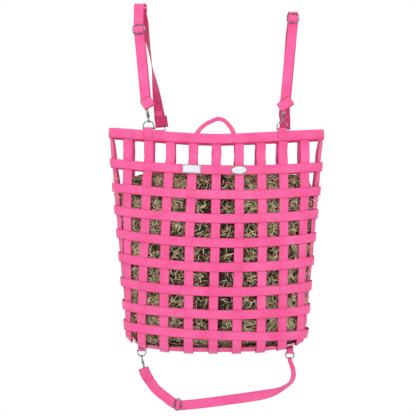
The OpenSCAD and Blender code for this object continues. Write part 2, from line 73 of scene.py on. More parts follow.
# The hanging straps and the fittings
STRAP_W = 27.0
TAB_W = 19.0
SLIDE_INNER_W = 30.0
LOOP_R = 10.0
WIRE_R = 1.5
RING_SIDE = 7.0
RING_HALF = 14.3
HOOK_LIFT = 2.5
EYE_Z = 52.0
LEFT_FRONT = np.array([-184.0, -50.0, -326.0])
LEFT_BACK = np.array([-158.0, 50.0, -326.0])
RIGHT_FRONT = np.array([178.0, -50.0, -328.0])
RIGHT_BACK = np.array([190.0, 50.0, -328.0])
BOTTOM_LEFT = np.array([-205.5, 0.0, -931.0])
BOTTOM_RIGHT = np.array([202.0, 0.0, -939.0])
UP = np.array([0.0, 0.0, 1.0])
RIGHT = np.array([1.0, 0.0, 0.0])
FRONT = np.array([0.0, -1.0, 0.0])

# The camera, in metres: a long lens level with the bag's middle
CAMERA_PLACE = (-0.023, -2.8625, -0.540)
CAMERA_LENS = 90.0
FLOOR_Z = -1.32
FLOOR_R = 0.9


def unit(v):
    """The vector or each row of vectors, at length one."""
    v = np.asarray(v, float)
    return v / np.maximum(np.linalg.norm(v, axis=-1, keepdims=True), 1e-9)


LEFT_SNAP_U = unit([-5.0, 4.6, 36.0])
RIGHT_SNAP_U = unit([5.0, 4.6, 36.0])
BOTTOM_SNAP_U = unit([7.0, 0.0, -34.0])
SMALL_SNAP = 0.8
LEFT_EYE = LEFT_FRONT + UP * (RING_SIDE + RING_HALF) + LEFT_SNAP_U * (HOOK_LIFT + EYE_Z)
RIGHT_EYE = RIGHT_FRONT + UP * (RING_SIDE + RING_HALF) + RIGHT_SNAP_U * (HOOK_LIFT + EYE_Z)
BOTTOM_EYE = BOTTOM_LEFT - UP * 16.5 + BOTTOM_SNAP_U * (HOOK_LIFT + EYE_Z) * SMALL_SNAP


# ---- camera, light and floor ----
def make_camera():
    """A level camera that looks straight at the bag's front."""
    data = bpy.data.cameras.new("camera")
    data.lens = CAMERA_LENS
    data.sensor_width = 36.0
    cam = bpy.data.objects.new("camera", data)
    cam.location = CAMERA_PLACE
    cam.rotation_euler = (math.radians(90.0), 0.0, 0.0)
    bpy.context.scene.collection.objects.link(cam)
    bpy.context.scene.camera = cam


def make_light(name, place, aim, size, watts):
    """A square soft light at place, facing aim."""
    data = bpy.data.lights.new(name, "AREA")
    data.size = size
    data.energy = watts
    lamp = bpy.data.objects.new(name, data)
    lamp.location = place
    way = np.array(aim, float) - np.array(place, float)
    level = math.hypot(way[0], way[1])
    lamp.rotation_euler = (math.atan2(level, -way[2]), 0.0, math.atan2(-way[0], way[1]))
    bpy.context.scene.collection.objects.link(lamp)


def make_world(strength):
    """A plain white surrounding."""
    world = bpy.data.worlds.new("studio")
    world.use_nodes = True
    background = world.node_tree.nodes["Background"]
    background.inputs["Color"].default_value = (1.0, 1.0, 1.0, 1.0)
    background.inputs["Strength"].default_value = strength
    bpy.context.scene.world = world
    bpy.context.scene.view_settings.view_transform = "Standard"


# ---- materials ----
class Nodes:
    """Short calls for building a material's nodes."""

    def __init__(self, name):
        self.material = bpy.data.materials.new(name)
        self.material.use_nodes = True
        self.tree = self.material.node_tree
        self.shader = self.tree.nodes["Principled BSDF"]

    def add(self, kind, **values):
        """A node with its settings."""
        node = self.tree.nodes.new(kind)
        for key, value in values.items():
            setattr(node, key, value)
        return node

    def put(self, node, name, value):
        """Sets or links one input, by its name or its number."""
        socket = node.inputs[name]
        if isinstance(value, bpy.types.NodeSocket):
            self.tree.links.new(value, socket)
        elif isinstance(value, tuple):
            socket.default_value = (*value, 1.0)
        else:
            socket.default_value = value

    def fill(self, kind, **inputs):
        """A node with its inputs set or linked."""
        node = self.add(kind)
        for name, value in inputs.items():
            self.put(node, name, value)
        return node

    def math(self, kind, a, b=0.0):
        node = self.add("ShaderNodeMath", operation=kind)
        self.put(node, 0, a)
        self.put(node, 1, b)
        return node.outputs[0]

    def times(self, a, b):
        return self.math("MULTIPLY", a, b)

    def plus(self, a, b):
        return self.math("ADD", a, b)

    def noise(self, vector, scale, detail=2.0, roughness=0.5):
        node = self.fill("ShaderNodeTexNoise", Vector=vector, Scale=scale, Detail=detail, Roughness=roughness)
        return node.outputs["Fac"]

    def ramp(self, factor, stops):
        """Colours along a factor: stops are (place, (r, g, b))."""
        node = self.fill("ShaderNodeValToRGB", Fac=factor)
        marks = node.color_ramp.elements
        while len(marks) < len(stops):
            marks.new(0.5)
        for mark, (place, colour) in zip(marks, stops):
            mark.position = place
            mark.color = (*colour, 1.0)
        return node.outputs["Color"]

    def mix(self, factor, a, b, blend="MIX"):
        node = self.add("ShaderNodeMix", data_type="RGBA", blend_type=blend)
        for number, value in ((0, factor), (6, a), (7, b)):
            self.put(node, number, value)
        return node.outputs[2]

    def bump(self, height, strength, distance, under=None):
        node = self.fill("ShaderNodeBump", Height=height, Strength=strength, Distance=distance)
        if under is not None:
            self.put(node, "Normal", under)
        return node.outputs["Normal"]

    def object_place(self):
        return self.add("ShaderNodeTexCoord").outputs["Object"]


# The weave's ribs and yarns, millimetres apart
RIB_PITCH = 1.5
YARN_PITCH = 1.1


def webbing_material(name, light, body, edge, width):
    """Woven webbing: fine ribs, a twill ground, darker selvedges and soft unevenness in colour."""
    n = Nodes(name)
    uv = n.add("ShaderNodeUVMap", uv_map="strap").outputs["UV"]
    split = n.add("ShaderNodeSeparateXYZ")
    n.put(split, 0, uv)
    along, across = split.outputs[0], split.outputs[1]
    place = n.object_place()
    soft = n.noise(place, 18.0, 3.0)
    fine = n.noise(place, 240.0, 2.0)
    cloudy = n.plus(n.times(soft, 0.75), n.times(fine, 0.25))
    ground = n.ramp(cloudy, [(0.36, body), (0.62, light)])
    # How near the edge: 0 in the middle, 1 at the selvedge
    off = n.math("ABSOLUTE", n.math("SUBTRACT", n.math("DIVIDE", across, width), 0.5))
    near = n.times(off, 2.0)
    band = n.ramp(near, [(0.0, (0.0,) * 3), (0.74, (0.0,) * 3), (0.8, (0.18,) * 3), (0.86, (0.1,) * 3),
                         (0.94, (0.75,) * 3), (1.0, (1.0,) * 3)])
    colour = n.mix(band, ground, edge)
    ribs = n.math("SINE", n.times(along, 2.0 * math.pi / RIB_PITCH))
    yarns = n.math("SINE", n.times(across, 2.0 * math.pi / YARN_PITCH))
    weave = n.plus(n.times(n.times(ribs, yarns), 0.5), 0.5)
    shade = n.plus(n.times(weave, 0.14), 0.9)
    tone = n.fill("ShaderNodeCombineColor", Red=shade, Green=shade, Blue=shade)
    colour = n.mix(1.0, colour, tone.outputs[0], "MULTIPLY")
    n.put(n.shader, "Base Color", colour)
    n.put(n.shader, "Roughness", n.plus(n.times(weave, -0.12), 0.78))
    n.put(n.shader, "Sheen Weight", 0.12)
    n.put(n.shader, "Sheen Roughness", 0.5)
    n.put(n.shader, "Specular IOR Level", 0.25)
    rough = n.bump(weave, 0.5, 0.0003)
    n.put(n.shader, "Normal", n.bump(soft, 0.25, 0.002, rough))
    return n.material


def thread_material(name, colour, dark):
    """Twisted sewing thread."""
    n = Nodes(name)
    place = n.object_place()
    n.put(n.shader, "Base Color", n.ramp(n.noise(place, 300.0), [(0.3, dark), (0.7, colour)]))
    n.put(n.shader, "Roughness", 0.6)
    n.put(n.shader, "Normal", n.bump(n.noise(place, 1500.0), 0.4, 0.0002))
    return n.material


def hay_material(name, dark, middle, pale, roughness=0.7):
    """Dry stems: each a little different, with fine lengthwise mottling."""
    n = Nodes(name)
    place = n.object_place()
    broad = n.noise(place, 55.0, 2.0)
    fine = n.noise(place, 420.0, 3.0, 0.65)
    mixed = n.plus(n.times(broad, 0.6), n.times(fine, 0.4))
    n.put(n.shader, "Base Color", n.ramp(mixed, [(0.33, dark), (0.5, middle), (0.66, pale)]))
    n.put(n.shader, "Roughness", roughness)
    n.put(n.shader, "Specular IOR Level", 0.3)
    n.put(n.shader, "Normal", n.bump(fine, 0.35, 0.0006))
    return n.material


def nickel_material(name):
    """Polished nickel plate with faint polishing marks; its base colour is held dark and cloudy, as painted
    dark reflections, and the lighter patches are also a little rougher.
    """
    n = Nodes(name)
    place = n.object_place()
    cloud = n.noise(place, 130.0, 2.0)
    marks = n.noise(place, 900.0, 2.0)
    # The dark, cloudy base colour is a painted reflection of dark surroundings
    n.put(n.shader, "Base Color", n.ramp(cloud, [(0.38, (0.09, 0.087, 0.083)), (0.62, (0.4, 0.39, 0.375))]))
    n.put(n.shader, "Metallic", 1.0)
    n.put(n.shader, "Roughness", n.plus(n.times(cloud, 0.14), 0.12))
    n.put(n.shader, "Normal", n.bump(marks, 0.15, 0.0002))
    return n.material


def label_material(name, dark, light):
    """Plain satin label cloth with a fine weave."""
    n = Nodes(name)
    place = n.object_place()
    fine = n.noise(place, 900.0, 2.0)
    n.put(n.shader, "Base Color", n.ramp(fine, [(0.35, dark), (0.6, light)]))
    n.put(n.shader, "Roughness", 0.42)
    n.put(n.shader, "Normal", n.bump(fine, 0.3, 0.0002))
    return n.material


def floor_material():
    n = Nodes("pale_floor")
    cloud = n.noise(n.object_place(), 3.0)
    n.put(n.shader, "Base Color", n.ramp(cloud, [(0.3, (0.86,) * 3), (0.7, (0.9,) * 3)]))
    n.put(n.shader, "Roughness", 0.9)
    return n.material


# ---- meshes ----
def make_piece(name, points, faces, material, body, nodes=(), uv=None, smooth=True):
    """A mesh piece from points in millimetres, riding on a body and standing for CAD nodes."""
    mesh = bpy.data.meshes.new(name)
    mesh.from_pydata((np.asarray(points, float) * MM).tolist(), [], faces)
    mesh.update()
    if uv is not None:
        layer = mesh.uv_layers.new(name="strap")
        layer.data.foreach_set("uv", np.asarray(uv, float).ravel())
    if smooth:
        mesh.polygons.foreach_set("use_smooth", [True] * len(mesh.polygons))
    mesh.materials.append(material)
    obj = bpy.data.objects.new(name, mesh)
    bpy.context.scene.collection.objects.link(obj)
    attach(obj, body)
    if nodes:
        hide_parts(*nodes)
    return obj


class Parts:
    """Points, faces and strap coordinates of several sweeps, gathered into one piece."""

    def __init__(self):
        self.points = []
        self.faces = []
        self.uv = []
        self.count = 0

    def sweep(self, grid, u, v, closed_path=False):
        """Closed sections (stations x section points x 3) joined into a solid. u and v are in millimetres."""
        k, m = grid.shape[:2]
        base = self.count
        self.points.append(grid.reshape(-1, 3))
        self.count += k * m
        for i in range(k if closed_path else k - 1):
            near = base + i * m
            far = base + ((i + 1) % k) * m
            u0, u1 = u[i], u[i + 1] if i + 1 < len(u) else u[i] + (u[1] - u[0])
            for j in range(m):
                g = (j + 1) % m
                self.faces.append((near + j, near + g, far + g, far + j))
                v1 = v[g] if g else v[j]
                self.uv += [(u0, v[j]), (u0, v1), (u1, v1), (u1, v[j])]
        if not closed_path:
            self.faces.append(tuple(base + j for j in range(m))[::-1])
            self.uv += [(u[0], v[j]) for j in range(m)][::-1]
            self.faces.append(tuple(base + (k - 1) * m + j for j in range(m)))
            self.uv += [(u[-1], v[j]) for j in range(m)]

    def solid(self, points, faces):
        """A ready mesh with no strap coordinates of its own."""
        base = self.count
        self.points.append(np.asarray(points, float))
        self.count += len(points)
        for face in faces:
            self.faces.append(tuple(base + i for i in face))
            self.uv += [(points[i][0], 5.0) for i in face]

    def piece(self, name, material, body, nodes=()):
        return make_piece(name, np.concatenate(self.points), self.faces, material, body, nodes, self.uv)


def lengths(path):
    """Distance along a path at each of its points."""
    return np.concatenate([[0.0], np.cumsum(np.linalg.norm(np.diff(path, axis=0), axis=1))])


def smooth_path(points, spacing=4.0):
    """A smooth curve through points, with stations about spacing apart; extra columns are carried along."""
    p = np.asarray(points, float)
    at = lengths(p[:, :3])
    slope = np.gradient(p, at, axis=0)
    out = []
    for i in range(len(p) - 1):
        span = at[i + 1] - at[i]
        steps = max(1, int(round(span / spacing)))
        for s in np.arange(steps) / steps:
            h1 = 2 * s**3 - 3 * s**2 + 1
            h2 = s**3 - 2 * s**2 + s
            h3 = -2 * s**3 + 3 * s**2
            h4 = s**3 - s**2
            out.append(h1 * p[i] + h2 * span * slope[i] + h3 * p[i + 1] + h4 * span * slope[i + 1])
    out.append(p[-1])
    return np.array(out)


def directions(path):
    return unit(np.gradient(path, axis=0))


def ripple(at, amount, seed, wave=60.0):
    """Soft unevenness along a length."""
    draw = np.random.default_rng(SEED * 1000 + seed)
    total = np.zeros_like(np.asarray(at, float))
    for part, share in ((1.0, 0.55), (0.45, 0.3), (0.2, 0.15)):
        total += share * np.sin(2 * np.pi * (at / (wave * part) + draw.random()) + draw.random() * 6.0)
    return total * amount


# A strap's section: places across it and how thick it is there
ACROSS = np.array([0.0, 0.012, 0.04, 0.085, 0.13, 0.3, 0.5, 0.7, 0.87, 0.915, 0.96, 0.988, 1.0])
SWELL = np.array([0.0, 0.72, 1.0, 0.98, 0.84, 0.9, 0.92, 0.9, 0.84, 0.98, 1.0, 0.72, 0.0])


def ribbon(parts, left, right, normal, t=WEB_T, closed=False, crown=0.0):
    """One strap from its two edges and the way its face looks. crown bows its middle outwards."""
    v = ACROSS[None, :, None]
    flat = left[:, None, :] * (1 - v) + right[:, None, :] * v
    bow = (crown * 4 * ACROSS * (1 - ACROSS))[None, :, None]
    half = (SWELL * t / 2)[None, :, None]
    up = normal[:, None, :]
    face = flat + up * (bow + half)
    back = (flat + up * (bow - half))[:, -2:0:-1]
    grid = np.concatenate([face, back], axis=1)
    widths = ACROSS * np.linalg.norm(right[0] - left[0])
    v_at = np.concatenate([widths, widths[-2:0:-1]])
    u_at = lengths((left + right) / 2)
    parts.sweep(grid, u_at, v_at, closed)


def edge_frame(left, right):
    """A strap's middle line, the distance along it and the way its face looks, from its two edges."""
    middle = (left + right) / 2
    return middle, lengths(middle), unit(np.cross(directions(middle), right - left))


def strap(parts, path, width, lead, turn=None, t=WEB_T, crown=0.0):
    """A strap along a path: lead is the way across it before its turn, in degrees, about the path."""
    d = directions(path)
    lead = np.broadcast_to(np.asarray(lead, float), d.shape)
    a = unit(lead - d * (lead * d).sum(1, keepdims=True))
    b = np.cross(d, a)
    angle = np.radians(np.zeros(len(path)) if turn is None else turn)[:, None]
    w = a * np.cos(angle) + b * np.sin(angle)
    half = (np.broadcast_to(width, (len(path),)) / 2)[:, None]
    ribbon(parts, path - w * half, path + w * half, unit(np.cross(d, w)), t, crown=crown)


def tube(parts, path, radius, closed=False, sides=12):
    """A round wire along a path."""
    d = unit(np.roll(path, -1, 0) - np.roll(path, 1, 0)) if closed else directions(path)
    lead = np.where(np.abs(d[:, 1:2]) > 0.9, UP, FRONT)
    a = unit(lead - d * (lead * d).sum(1, keepdims=True))
    b = np.cross(d, a)
    turn = np.arange(sides) * 2 * np.pi / sides
    ring = a[:, None] * np.cos(turn)[None, :, None] + b[:, None] * np.sin(turn)[None, :, None]
    grid = path[:, None] + ring * np.broadcast_to(radius, (len(path),))[:, None, None]
    parts.sweep(grid, lengths(path), turn * 2.0, closed)


def stitches(parts, runs, width=0.9, height=0.5):
    """Threads lying on cloth: each run is (start, end, way out)."""
    for start, end, out in runs:
        way = unit(end - start)
        side = np.cross(way, out)
        middle = (start + end) / 2
        points = [start, end, middle + side * width / 2, middle - side * width / 2,
                  middle + out * height, middle - out * height * 0.6]
        faces = [(0, 2, 4), (2, 1, 4), (1, 3, 4), (3, 0, 4), (2, 0, 5), (1, 2, 5), (3, 1, 5), (0, 3, 5)]
        parts.solid(points, faces)


def strap_piece(name, material, body, path, width, lead, nodes=(), slot="webbing", **shape):
    """A piece made of one strap."""
    cloth = Parts()
    strap(cloth, path, width, lead, **shape)
    cloth.piece(name, material, body, nodes)


def stitch_piece(name, material, body, runs, width=0.8, height=0.35):
    """A piece made of one set of stitches."""
    threads = Parts()
    stitches(threads, runs, width, height)
    threads.piece(name, material, body)


# ---- the bag's surface, as in the CAD ----
def half_w(z):
    levels = [-1000, -880, -824, -763, -698, -633, -568, -504, -437, -370]
    return np.interp(z, levels, [249, 251.5, 253.5, 258, 264, 269.5, 275, 281.5, 286, MOUTH_W / 2 - 3])


def half_d(z):
    shares = np.array([0.46, 0.49, 0.5, 0.49, 0.43, 0.34]) * BELLY_D
    return np.interp(z, [-900, -824, -763, -698, -568, -437, -370, -300], [*shares, MOUTH_D / 2, MOUTH_D / 2])


def squareness(z):
    return np.interp(z, [-633, -568, -504, -437, -370, -300], [2.8, 3.1, 3.8, 5.0, 8.0, 8.0])


def rim_z(x):
    u = np.asarray(x) * 2 / MOUTH_W
    return MOUTH_Z - 2.4 + (MOUTH_END_RISE - MOUTH_SKEW * u) * np.sqrt(u * u + 0.022)


def draw_in(z):
    drop = np.clip((ROUND_Z - z) / (ROUND_Z - BOTTOM_Z), 0.0, 1.0)
    return (1 - drop**3) ** (1 / 3)


def plan_y(x, z, out):
    n = squareness(z)
    inside = np.maximum(draw_in(z) ** n - (np.abs(x) / (half_w(z) + out)) ** n, 0.0)
    return (half_d(z) + out) * inside ** (1 / n)


def plan_x(y, z, out):
    n = squareness(z)
    inside = np.maximum(draw_in(z) ** n - (np.abs(y) / (half_d(z) + out)) ** n, 0.0)
    return (half_w(z) + out) * inside ** (1 / n)


def floor_z(x, y, out):
    n = squareness(ROUND_Z)
    f = ((np.abs(x) / (half_w(ROUND_Z) + out)) ** n + (np.abs(y) / (half_d(ROUND_Z) + out)) ** n) ** (1 / n)
    return ROUND_Z - (ROUND_Z - BOTTOM_Z + out) * np.maximum(1 - f**3, 0.0) ** (1 / 3)


def signed_power(v, e):
    return np.sign(v) * np.abs(v) ** e


def ring_level(k, u, up=0.0):
    """Height of a ring strap at u, from -1 at the bag's left end to 1 at its right."""
    return RING_Z[k] + up + RING_END_RISE[k] * u * u + RING_TILT[k] * u


def round_bag(k, turn, up, out):
    """Points round the bag along a ring strap."""
    level = ring_level(k, signed_power(np.cos(turn), 2 / squareness(RING_Z[k] + up)), up)
    n = squareness(level)
    x = (half_w(level) + out) * draw_in(level) * signed_power(np.cos(turn), 2 / n)
    y = (half_d(level) + out) * draw_in(level) * signed_power(np.sin(turn), 2 / n)
    return np.stack([x, y, level], axis=1)


def column_x(c, z):
    """Middle of an upright strap at a height."""
    return half_w(z) * np.interp(z, [-841, -600, -385], [COLUMN_LOW[c], COLUMN_MID[c], COLUMN_TOP[c]])


def even_turns(count):
    """Turns round the plan, closer together at its corners."""
    t = np.linspace(0, 2 * np.pi, count, endpoint=False)
    return t - 0.2 * np.sin(4 * t)


def make_rings(material):
    turns = even_turns(150)
    for k in range(len(RING_Z)):
        top = round_bag(k, turns, WEB_W / 2, LAYER)
        low = round_bag(k, turns, -WEB_W / 2, LAYER)
        middle = (top + low) / 2
        at = lengths(middle)
        way = unit(np.roll(middle, -1, 0) - np.roll(middle, 1, 0))
        out = unit(np.cross(way, top - low))
        wave = (ripple(at, 0.7, 40 + k, 130.0) * np.sin(turns / 2) ** 2)[:, None]
        swing = (ripple(at, 0.9, 60 + k, 210.0) * np.sin(turns / 2) ** 2)[:, None]
        top = top + out * wave * 0.6 + UP * swing
        low = low + out * wave + UP * (swing + 0.5 * wave)
        parts = Parts()
        ribbon(parts, top, low, out, closed=True, crown=0.5)
        parts.piece("ring_webbing_%d" % (k + 1), material, "bag", ["ring_strap_%d" % (k + 1)])


def half_seen(x, z):
    """Half the width of an upright as seen from the front: less where it wraps the bag's corner."""
    slope = plan_y(x + 0.5, z, 0) - plan_y(x - 0.5, z, 0)
    return WEB_W / 2 / np.sqrt(1 + slope * slope)


def upright_edges(c, side):
    """One edge of an upright: down the front, under the bag and up the back."""
    top = float(rim_z(column_x(c, -350.0))) - 8.0
    z = np.concatenate([np.linspace(top, -600, 34), np.linspace(-612, -862, 26)])
    middle = column_x(c, z)
    x = middle + side * half_seen(middle, z)
    front = np.stack([x, -plan_y(x, z, 0), z], axis=1)
    back = np.stack([x, plan_y(x, z, 0), z], axis=1)[::-1]
    turn = np.radians(np.linspace(4, 176, 40))
    middle = float(column_x(c, ROUND_Z))
    x = np.full(len(turn), middle + side * float(half_seen(middle, ROUND_Z)))
    reach = half_d(ROUND_Z) * np.maximum(1 - (np.abs(x) / half_w(ROUND_Z)) ** 2.8, 0.0) ** (1 / 2.8)
    y = -reach * signed_power(np.cos(turn), 0.8)
    under = np.stack([x, y, floor_z(x, y, 0)], axis=1)
    return np.concatenate([front, under, back])


def make_uprights(material):
    for number, c in enumerate(COLUMNS, start=1):
        left = upright_edges(c, -1)
        right = upright_edges(c, 1)
        middle, at, out = edge_frame(left, right)
        free = np.clip((at - 12) / 30, 0, 1) * np.clip((at[-1] - 12 - at) / 30, 0, 1)
        loose = free * np.where(middle[:, 2] > -425, 1.0, 0.25)
        sway = (ripple(at, 1.5, 80 + number, 90.0) * loose)[:, None]
        left = left + RIGHT * sway + out * (ripple(at, 1.3, 100 + number, 60.0) * loose)[:, None]
        right = right + RIGHT * sway * 0.8 + out * (ripple(at, 1.3, 120 + number, 65.0) * loose)[:, None]
        parts = Parts()
        ribbon(parts, left, right, out, crown=-0.5)
        parts.piece("upright_webbing_%d" % number, material, "bag", ["upright_strap_%d" % number])


def end_strap_edge(side, w):
    """One edge of an end strap: down the left end, lengthwise under the bag and up the right end."""
    z = np.concatenate([np.linspace(-334, -600, 26), np.linspace(-615, -856, 18)])
    aside = np.interp(z, [-866, -700, -568, -437, -370], [24, 28, 26, 23, 20])
    inset = np.interp(z, [-850, -640, -420, -385, -371], [LOW_INSET, -LAYER, -LAYER, -1.2, 0])
    y = side * aside + w * WEB_W / 2
    x = plan_x(y, z, inset)
    if w == side:
        x = x - np.interp(z, [-650, -570, -500, -370, -340], [0, 4, 8, 9, 3])
    left = np.stack([-x, y, z], axis=1)
    right = np.stack([x, y, z], axis=1)[::-1]
    run = 226 * np.sin(np.radians(np.linspace(-78, 78, 61)))
    y = side * np.interp(np.abs(run), [0, 100, 150, 190, 225], [58, 57, 50, 36, 20]) + w * WEB_W / 2
    under = np.stack([run, y, floor_z(run, y, LOW_INSET)], axis=1)
    return np.concatenate([left, under, right])


def make_end_straps(material):
    for name, side in (("front", -1), ("back", 1)):
        a = end_strap_edge(side, -1)
        b = end_strap_edge(side, 1)
        middle, at, out = edge_frame(a, b)
        free = np.clip(at / 30, 0, 1) * np.clip((at[-1] - at) / 30, 0, 1)
        loose = np.where(middle[:, 2] > -500, 1.0, 0.3) * free
        a = a + out * (ripple(at, 1.4, 140 + side, 120.0) * loose)[:, None]
        b = b + out * (ripple(at, 1.4, 150 + side, 110.0) * loose)[:, None]
        parts = Parts()
        ribbon(parts, a, b, out, crown=0.3)
        parts.piece("end_webbing_" + name, material, "bag", ["end_strap_" + name])


# The binding's section: distance out from its middle and height below its top
BINDING_FACE = [(3.0, -26.0), (3.5, -25.4), (3.3, -22.5), (3.1, -17.0), (3.1, -10.5), (3.0, -5.0),
                (2.5, -1.9), (1.4, -0.5)]
BINDING_LINING = [(1.5, -25.8), (1.5, -10.5), (1.2, -3.2)]
BINDING = np.array(
    BINDING_FACE + [(0.0, 0.0)] + [(-out, down) for out, down in BINDING_FACE[::-1]]
    + [(-out, down) for out, down in BINDING_LINING] + [(0.0, -2.0)] + BINDING_LINING[::-1])


def binding_plan(turn, out):
    n = float(squareness(MOUTH_Z))
    x = (MOUTH_W / 2 - 3 + out) * signed_power(np.cos(turn), 2 / n)
    y = (MOUTH_D / 2 + out) * signed_power(np.sin(turn), 2 / n)
    return x, y


def binding_bulge(x, y):
    """How much the straps sewn inside push the binding out at a place."""
    middles = np.array([float(column_x(c, -355.0)) for c in COLUMNS])
    near = np.exp(-(((x[:, None] - middles[None]) / 12.0) ** 4)).max(1)
    return near * (np.abs(y) > 20)


def make_binding(material):
    turns = even_turns(420)
    x0, y0 = binding_plan(turns, 0.0)
    x1, y1 = binding_plan(turns, 1.0)
    at = lengths(np.stack([x0, y0], axis=1))
    fade = np.sin(turns / 2) ** 2
    lean = ripple(at, 0.7, 7, 90.0) * fade
    crease = ripple(at, 0.5, 8, 38.0) * fade
    hem = ripple(at, 1.1, 9, 60.0) * fade
    bulge = binding_bulge(x0, y0)
    grid = []
    for out, down in BINDING:
        share = -down / BINDING_H
        shell = out + np.sign(out) * bulge * 0.9 * min(1.0, share * 3) * (abs(out) > 2)
        away = shell + lean * share + crease * share * (1 - share) * 2
        x = x0 + (x1 - x0) * away
        y = y0 + (y1 - y0) * away
        z = rim_z(x) + down + hem * share + bulge * share * 0.8 - 1.2 * share
        grid.append(np.stack([x, y, z], axis=1))
    grid = np.stack(grid, axis=1)
    profile = lengths(np.column_stack([BINDING, np.zeros(len(BINDING))]))
    parts = Parts()
    parts.sweep(grid, at, np.minimum(profile * 0.82, 25.0), True)
    parts.piece("rim_binding_cloth", material, "bag", ["rim_binding"])


# ---- stitching ----
# From one stitch to the next
STITCH_STEP = 4.3
# The two rows of stitches along the binding's hem, below its top
HEM_ROWS = (22.8, 19.8)


def line_runs(start, end, out):
    """Stitches in a straight line."""
    span = np.linalg.norm(end - start)
    count = max(1, int(round(span / STITCH_STEP)))
    runs = []
    for i in range(count):
        a = start + (end - start) * (i + 0.12) / count
        b = start + (end - start) * (i + 0.82) / count
        runs.append((a, b, out))
    return runs


def box_runs(corners, out):
    """A sewn box with a cross in it."""
    runs = []
    for i in range(4):
        runs += line_runs(corners[i], corners[(i + 1) % 4], out)
    runs += line_runs(corners[0], corners[2], out)
    runs += line_runs(corners[1], corners[3], out)
    return runs


def crossing_runs(side):
    """The sewn boxes where the uprights pass under the rings, on the front or the back."""
    runs = []
    for k in range(len(RING_Z) - 1):
        for c in COLUMNS:
            x = float(column_x(c, RING_Z[k]))
            level = float(ring_level(k, x / float(half_w(RING_Z[k]))))
            corners = []
            for dx, dz in ((-9, 9), (9, 9), (9, -9), (-9, -9)):
                reach = float(plan_y(x + dx, level + dz, LAYER)) + WEB_T / 2 + 0.25
                corners.append(np.array([x + dx, side * reach, level + dz]))
            out = unit(np.cross(corners[0] - corners[3], corners[1] - corners[0]))
            runs += box_runs(corners, out * np.sign(out[1] * side))
    return runs


def make_stitching(material):
    for name, side in (("front", -1), ("back", 1)):
        stitch_piece("crossing_stitches_" + name, material, "bag", crossing_runs(side), height=0.32)
    turns = even_turns(420)
    runs = []
    for down in HEM_ROWS:
        for sign in (1, -1):
            x, y = binding_plan(turns, sign * 3.7)
            line = np.stack([x, y, rim_z(x) - down - 1.2], axis=1)
            ex, ey = binding_plan(turns, sign * 4.7)
            out = unit(np.stack([ex - x, ey - y, 0 * x], axis=1))
            runs += [(line[i] * 0.85 + line[i + 1] * 0.15, line[i] * 0.15 + line[i + 1] * 0.85, out[i])
                     for i in range(len(turns) - 1)]
    stitch_piece("rim_stitches", material, "bag", runs)


# ---- hay ----
# The heap: height, and its width there as a part of the bag's
HAY_LEVELS = np.array([
    (-926, 0.3), (-922, 0.55), (-912, 0.76), (-895, 0.9), (-870, 0.975), (-815, 1.0), (-740, 1.0),
    (-660, 1.0), (-590, 0.995), (-540, 0.98), (-505, 0.96), (-480, 0.94), (-463, 0.89), (-451, 0.78),
    (-446, 0.5)])
# How far inside the bag the heap's core and its stalks lie
CORE_INSET = 17.0
STALK_INSET = 9.5
STALK_STATIONS = 6


def hay_point(s, turn, inset):
    """A place on the heap: s from 0 at its bottom to 1 at its top, turn round it."""
    mark = s * (len(HAY_LEVELS) - 1)
    z = np.interp(mark, np.arange(len(HAY_LEVELS)), HAY_LEVELS[:, 0])
    f = np.interp(mark, np.arange(len(HAY_LEVELS)), HAY_LEVELS[:, 1])
    n = squareness(np.maximum(z, -600))
    x = (half_w(z) - inset * 0.5) * f * signed_power(np.cos(turn), 2 / n)
    y = (half_d(z) - inset) * f * signed_power(np.sin(turn), 2 / n)
    lump = 5 * np.sin(x / 31 + 1.3) * np.cos(y / 23) + 3 * np.sin(x / 17 + y / 29)
    fall = np.clip((z + 560) / 90, 0, 1)
    z = z + fall * (lump * 0.7 - 5 * (np.abs(x) / 250) ** 4)
    return np.stack([x, y, z], axis=-1)


def make_hay_core(material):
    rows, cols = 60, 120
    s = np.linspace(0.0, 1.0, rows)
    turn = np.linspace(0, 2 * np.pi, cols, endpoint=False)
    grid = np.stack([hay_point(np.full(cols, a), turn, CORE_INSET) for a in s])
    draw = np.random.default_rng(SEED)
    grid += draw.normal(0, 1.6, grid.shape)
    parts = Parts()
    parts.sweep(grid, s * 100, turn * 10, False)
    parts.piece("hay_core", material, "bag", ["hay_fill"])


def stalk_mesh(draw, start, way, out, length, width, bend, flat):
    """Curved three-sided stalks, as points (count x stations x 3 x 3)."""
    count = len(start)
    t = np.linspace(-0.5, 0.5, STALK_STATIONS)[None, :, None]
    side = unit(np.cross(way, out))
    curl = draw.normal(0, bend, (count, 1, 1))
    lift = draw.normal(0, bend * 0.45, (count, 1, 1))
    kink = draw.normal(0, bend * 0.5, (count, 1, 1))
    size = length[:, None, None]
    path = start[:, None] + way[:, None] * t * size
    path = path + side[:, None] * (curl * (t**2 - 0.08) + kink * t**3 * 3) * size
    path = path + out[:, None] * (lift * (t**2 - 0.05)) * size
    d = unit(np.gradient(path, axis=1))
    a = unit(np.cross(d, out[:, None]))
    b = np.cross(d, a)
    taper = (1 - 0.65 * np.abs(2 * t) ** 3) * width[:, None, None]
    spin = draw.uniform(0, 2 * np.pi, (count, 1, 1))
    sections = []
    for k in range(3):
        angle = spin + k * 2 * np.pi / 3
        sections.append(path + (a * np.cos(angle) + b * np.sin(angle) * flat) * taper)
    return np.stack(sections, axis=2)


def stalk_piece(name, material, grid):
    """A piece made of stalks that ride with the hay."""
    faces = []
    for n in range(len(grid)):
        base = n * STALK_STATIONS * 3
        for i in range(STALK_STATIONS - 1):
            p = base + i * 3
            for k in range(3):
                g = (k + 1) % 3
                faces.append((p + k, p + g, p + 3 + g, p + 3 + k))
        faces.append((base + 2, base + 1, base))
        last = base + (STALK_STATIONS - 1) * 3
        faces.append((last, last + 1, last + 2))
    make_piece(name, grid.reshape(-1, 3), faces, material, "bag", (), smooth=False)


